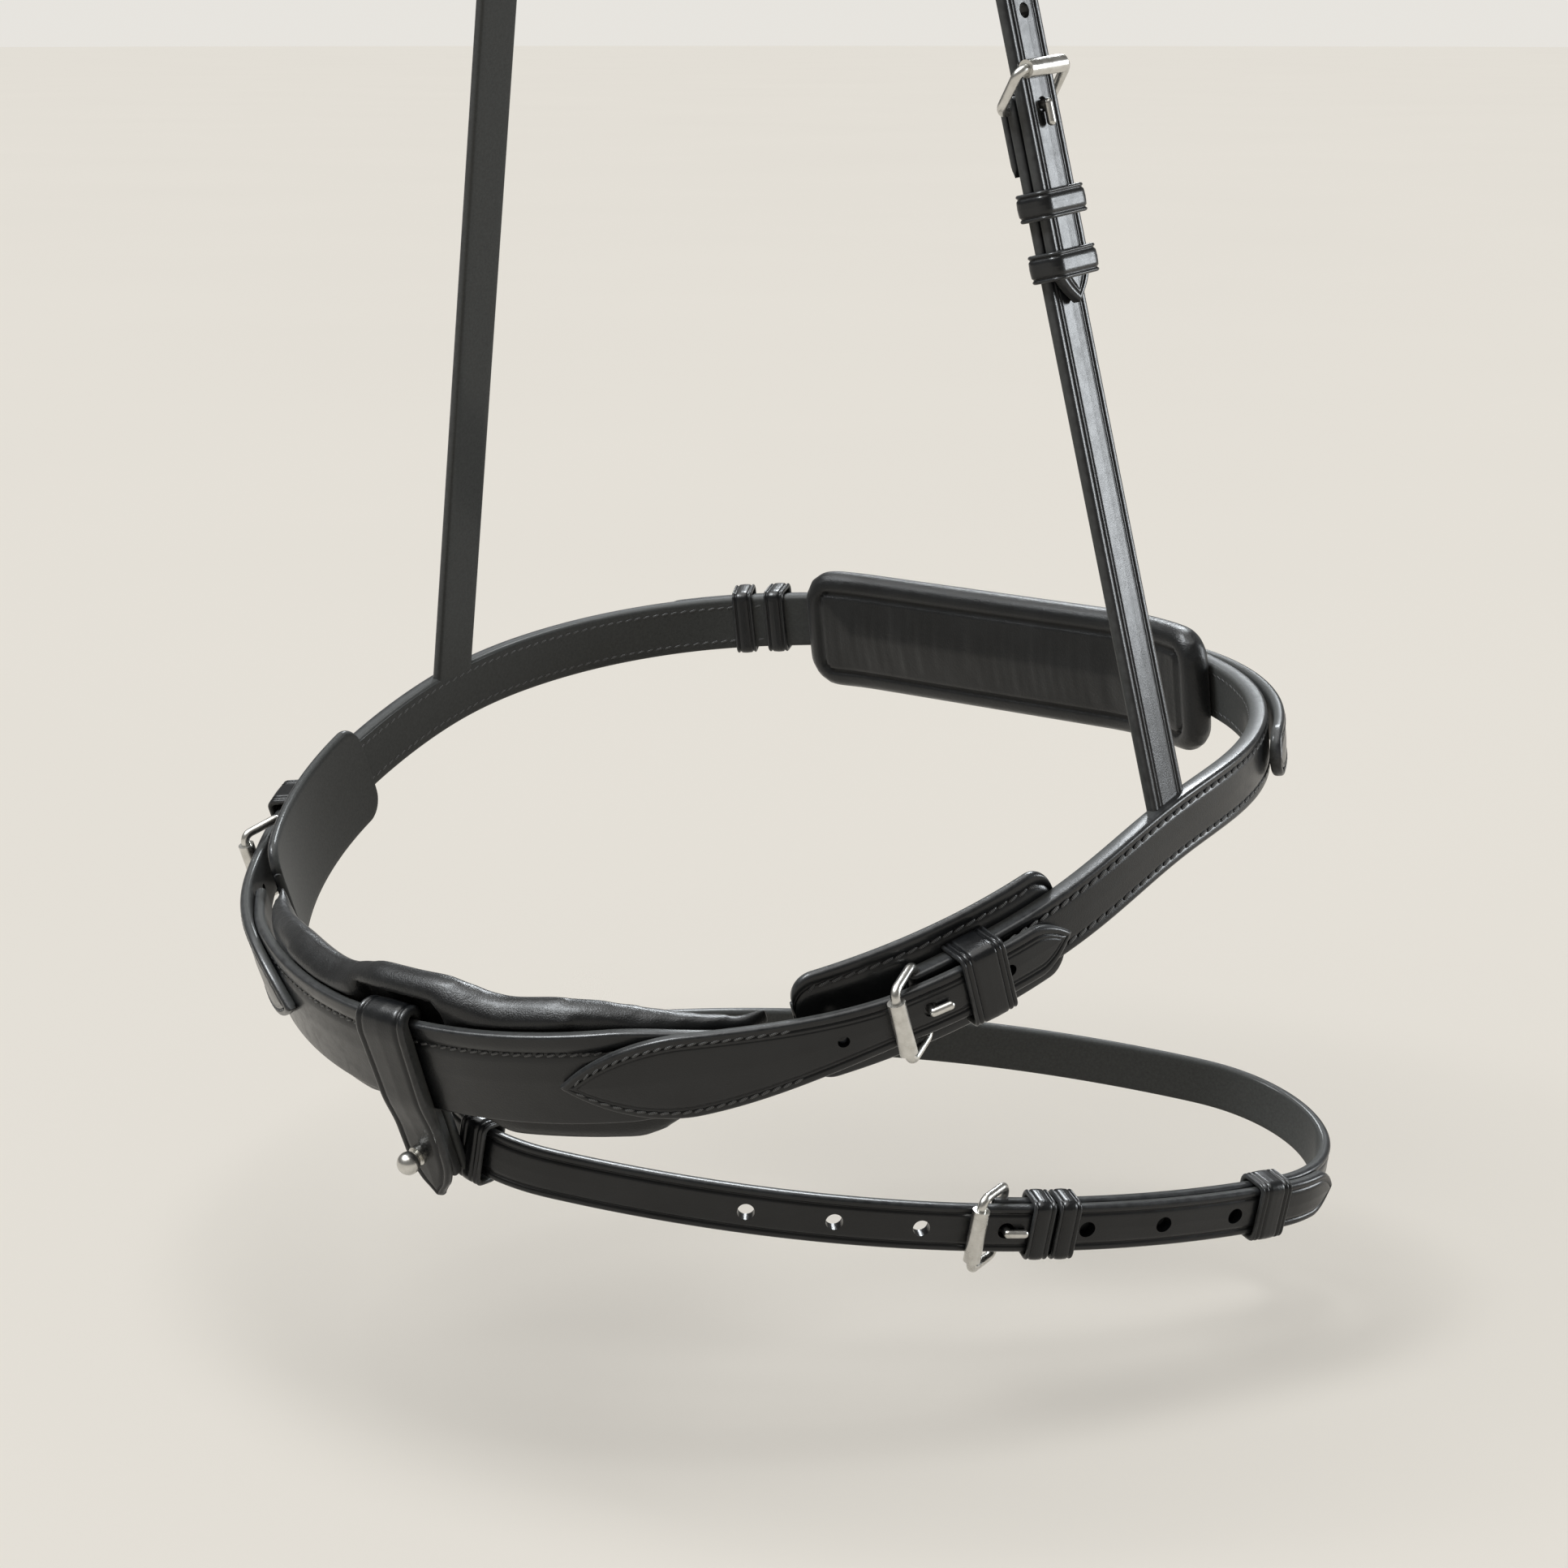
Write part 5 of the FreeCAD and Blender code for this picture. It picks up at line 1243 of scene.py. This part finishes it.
def chin_pad():
    """Stuffed chin pad: a rolled border, a deep seam inside it and a puffed panel with fine upright creases."""
    path = pad_path()
    total = lengths(path)[-1]
    spare = PAD_SPARE * math.pi / 180 * PAD_R
    half_l = (total - 2 * spare) / 2 - 0.3
    half_h = PAD_HALF_H - 0.4
    thick = PAD_HALF_T - 0.5
    rings = [(thick * (1 - math.cos(a)), thick * math.sin(a)) for a in np.radians(np.linspace(0, 90, 7))]
    rings += [(e, thick) for e in np.linspace(thick + 0.8, half_h - 0.05, 16)]
    layers = []
    for e, y in [(e, -y) for e, y in rings[::-1]] + rings[1:]:
        outline = pad_outline(half_l - e, half_h - e, max(PAD_CORNER - e, 0.02))
        layers.append(np.insert(outline, 1, y, axis=1))
    faces = shell_faces(len(layers), len(layers[0]))
    obj = flat_mesh("chin_pad_leather", np.concatenate(layers), faces)

    def held(points):
        e = inset_from(points[:, 0], points[:, 2], half_l, half_h, PAD_CORNER)
        return np.exp(-(((e - PAD_HELD) / 1.1) ** 2))

    x, y, z = puffed(obj, held, 0.9).T
    e = inset_from(x, z, half_l, half_h, PAD_CORNER)
    inner, outer = ease(-y, 1.0, 3.0), ease(y, 1.0, 3.0)
    groove = 2.0 * np.exp(-(((e - PAD_SEAM) / 0.42) ** 2))
    panel = 2.4 * ease(e, 5.6, 24.0) - 0.3
    crease = 0.2 * ripple(x, z * 0.1, 5, 0.9) * ease(e, 7.0, 10.0) + 0.15 * ripple(x, z, 9, 9.0)
    y = y + inner * (groove - panel * 0.6 + crease) - outer * 0.5 * np.exp(-(((e - 4.0) / 0.7) ** 2))
    flat = np.stack([x, np.clip(y, PAD_INNERMOST, PAD_OUTERMOST), z], 1)
    smooth_shell(obj, bent(path, flat, total / 2))
    finish(obj, "noseband", LEATHER_SOFT, "padded_leather", "chin_pad")


ROLL_R, ROLL_SPREAD = RING_R - 4.6, 44.6
ROLL_ROWS, ROLL_ACROSS = 150, 34
ROLL_TOP, ROLL_LOW = 19.4, -18.0
BODY = 4.0  # how far out the flat part behind the band comes
ROLL_RISE = 13.4  # height above which the roll stands clear of the band
ROLL_OUTERMOST, ROLL_INNERMOST = 9.0, -4.6  # offsets that the lining stays between


def nose_roll():
    """Soft lining of the face band: a fat roll above the band's top edge and a thin one below it, drawn in to
    sewn points at both ends, and flattened where the hanging tab passes over it."""
    path = nose_arc(ROLL_R, -50, 50)
    half = math.radians(ROLL_SPREAD) * ROLL_R
    s = (half * np.sin(np.linspace(-math.pi / 2, math.pi / 2, ROLL_ROWS)))[:, None]
    degrees = np.abs(np.degrees(s / ROLL_R))
    rise = 1 - ease(np.abs(s - 4.0), 8.0, 30.0)
    top = ROLL_TOP - 11.0 * ease(degrees, 20.0, 45.5) + 4.6 * rise
    low = ROLL_LOW - 3.6 * ease(np.abs(s), 15.0, 24.0)
    low = low + (2.9 - low) * ease(degrees, 25.0, ROLL_SPREAD) ** 1.4
    fat = np.minimum(5.0 - 3.6 * ease(degrees, 19.0, 43.0), (top - low) * 0.3)
    end = np.sqrt(np.clip(1 - (np.abs(s) / half) ** 10, 0, 1))
    tab = 1 - ease(np.abs(s), 12.2, 15.0)
    z = low + (top - low) * ((1 - np.cos(np.linspace(0, math.pi, ROLL_ACROSS))) / 2)
    lobe = 1.2 + fat * np.sqrt(np.clip(1 - ((z - (top - fat)) / fat) ** 2, 0, None))
    round_low = np.sqrt(np.clip(1 - (1 - np.clip((z - low) / 3.6, 0, 1)) ** 2, 0, 1))
    round_top = np.sqrt(np.clip(1 - (1 - np.clip((top - z) / fat, 0, 1)) ** 2, 0, 1))
    body = BODY * round_low * round_top
    front = np.where(z > ROLL_RISE, np.maximum(body, lobe * round_top), body)
    front = np.minimum(front, 4.2 + 3.0 * ease(z, 13.0, 14.4))
    front = front * end * (1 - 0.35 * ease(degrees, 30, 44))
    front = np.minimum(front, ROLL_OUTERMOST - 8.4 * tab * (1 - ease(z, 17.6, 19.4)))
    back = -3.9 * round_low * round_top * end * (1 - 0.5 * ease(degrees, 32, 44))
    z = np.concatenate([z, z[:, -2:0:-1]], 1)
    y = np.concatenate([front, back[:, -2:0:-1]], 1)
    x = np.repeat(s, z.shape[1], 1)
    flat = np.stack([x, y, z], -1).reshape(-1, 3)
    obj = flat_mesh("nosepiece_lining", flat, shell_faces(*z.shape))

    def held(points):
        x, y, z = points.T
        sewn = ease(y, 0.5, 2.5) * ease(-z, -12.6, -11.2) * ease(z, -12.5, -11.0)
        under = (1 - ease(np.abs(x), 12.0, 16.0)) * ease(y, -1.5, 0.5) * (1 - ease(z, 17.5, 19.0))
        return np.maximum(sewn, under)

    x, y, z = puffed(obj, held, 0.8).T
    y = y + 0.12 * ripple(x, z, 3, 7.0) * ease(z, 10, 15)
    z = z + 0.07 * ripple(x, y, 4, 11.0) * ease(z, 12, 16)
    limit = 4.25 + 3.2 * ease(z, 13.3, 14.6) + 1.6 * ease(-z, 16.2, 17.6) * ease(np.abs(x), 18.0, 24.0)
    near_tab = (1 - ease(np.abs(x), 12.4, 15.0)) * (1 - ease(z, 17.8, 19.2))
    y = np.minimum(np.minimum(y, limit), ROLL_OUTERMOST - 8.2 * near_tab)
    y = np.maximum(y, ROLL_INNERMOST)
    smooth_shell(obj, bent(path, np.stack([x, y, z], 1), lengths(path)[-1] / 2))
    finish(obj, "noseband", LEATHER_SOFT, "padded_leather", "nosepiece_padding")


# ------------------------------------------------------------------ hardware
def hardware():
    """Buckles and the ball stud keep their CAD shape and take the nickel finish."""
    for name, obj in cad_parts.items():
        if name.endswith(("_frame", "_roller", "_prong")) or name == "ball_stud":
            obj.data.materials.clear()
            obj.data.materials.append(NICKEL)


# ------------------------------------------------------------------ studio
def floor_paint():
    """Plain matt paint with a very faint mottling."""
    material, tree, shader = new_material("studio floor paint")
    colour = (0.88, 0.853, 0.805)
    cloud = noise(tree, object_space(tree), 1.5, 3.0)
    feed(tree, shader.inputs, {
        "Base Color": mix(tree, cloud, (*colour, 1), (*(c * 0.97 for c in colour), 1)),
        "Roughness": 1.0,
        "Specular IOR Level": 0.1,
    })
    return material


def added(name, data, towards, at=(0, 0, 0)):
    """A lamp or camera at a place in metres, looking along a direction with its top side up."""
    obj = bpy.data.objects.new(name, data)
    bpy.context.scene.collection.objects.link(obj)
    obj.location = at
    obj.rotation_euler = Vector(towards).to_track_quat("-Z", "Y").to_euler()
    return obj


FLOOR_DROP, FLOOR_AROUND, FLOOR_RINGS = 0.03, 64, np.array([0.02, 0.4, 1.0, 3.0, 9.0, 30.0])
LAMP_AIM = np.array([0.0604, -0.0359, -0.3797])
CAMERA_AT, CAMERA_BACK = np.array([560.6, -524.9, 251.2]) * MM - POLL * MM, np.array([0.62517, -0.74503, 0.23260])


def studio():
    """Pale floor below the piece, soft even daylight, two softboxes and a rim light, and the camera."""
    scene = bpy.context.scene
    low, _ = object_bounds()
    a = np.linspace(0, 2 * math.pi, FLOOR_AROUND, endpoint=False)
    level = np.full((len(FLOOR_RINGS), FLOOR_AROUND), low[2] - FLOOR_DROP)
    grid = np.stack([FLOOR_RINGS[:, None] * np.cos(a), FLOOR_RINGS[:, None] * np.sin(a), level], -1)
    faces = grid_faces(len(FLOOR_RINGS), FLOOR_AROUND) + [list(range(FLOOR_AROUND))]
    floor = make_object("studio_floor", grid.reshape(-1, 3), faces)
    floor.data.materials.append(floor_paint())
    spared = bpy.data.collections.new("floor only")
    spared.objects.link(floor)
    spared.collection_objects[0].light_linking.link_state = "EXCLUDE"
    world = bpy.data.worlds.new("Studio")
    scene.world = world
    world.use_nodes = True
    tree = world.node_tree
    seen = add(tree, "ShaderNodeLightPath").outputs["Is Camera Ray"]
    strength = mix(tree, seen, 0.22, 0.86, "FLOAT")
    feed(tree, tree.nodes["Background"].inputs, {"Color": (0.93, 0.905, 0.855, 1), "Strength": strength})
    sun = bpy.data.lights.new("sky", "SUN")
    sun.energy, sun.angle, sun.color = 2.3, math.radians(70), (1.0, 0.99, 0.965)
    added("sky", sun, np.array([0.15, 0.25, -1.0]))
    for name, at, size, power in (
        ("key", (-0.6, -0.9, 1.3), 0.55, 40.0),
        ("side", (1.5, 1.6, 0.1), 0.7, 26.0),
        ("rim", (-0.9, 1.4, 1.1), 0.6, 36.0),
    ):
        lamp = bpy.data.lights.new(name, "AREA")
        lamp.energy, lamp.size, lamp.color = power, size, (0.92, 0.965, 1.0)
        added(name, lamp, LAMP_AIM - np.array(at), at).light_linking.receiver_collection = spared
    camera = bpy.data.cameras.new("camera")
    camera.sensor_width, camera.lens, camera.clip_start = 36.0, 74.53, 0.01
    scene.camera = added("camera", camera, -CAMERA_BACK, CAMERA_AT)
    scene.view_settings.view_transform = "Standard"


# ------------------------------------------------------------------ assembly
face_band()
nose_roll()
nose_billets()
side_bands()
guards()
ring_keepers()
chin_pad()
chin_straps()
cheek_strap()
headpiece()
flash_strap()
nose_loop()
hardware()
studio()
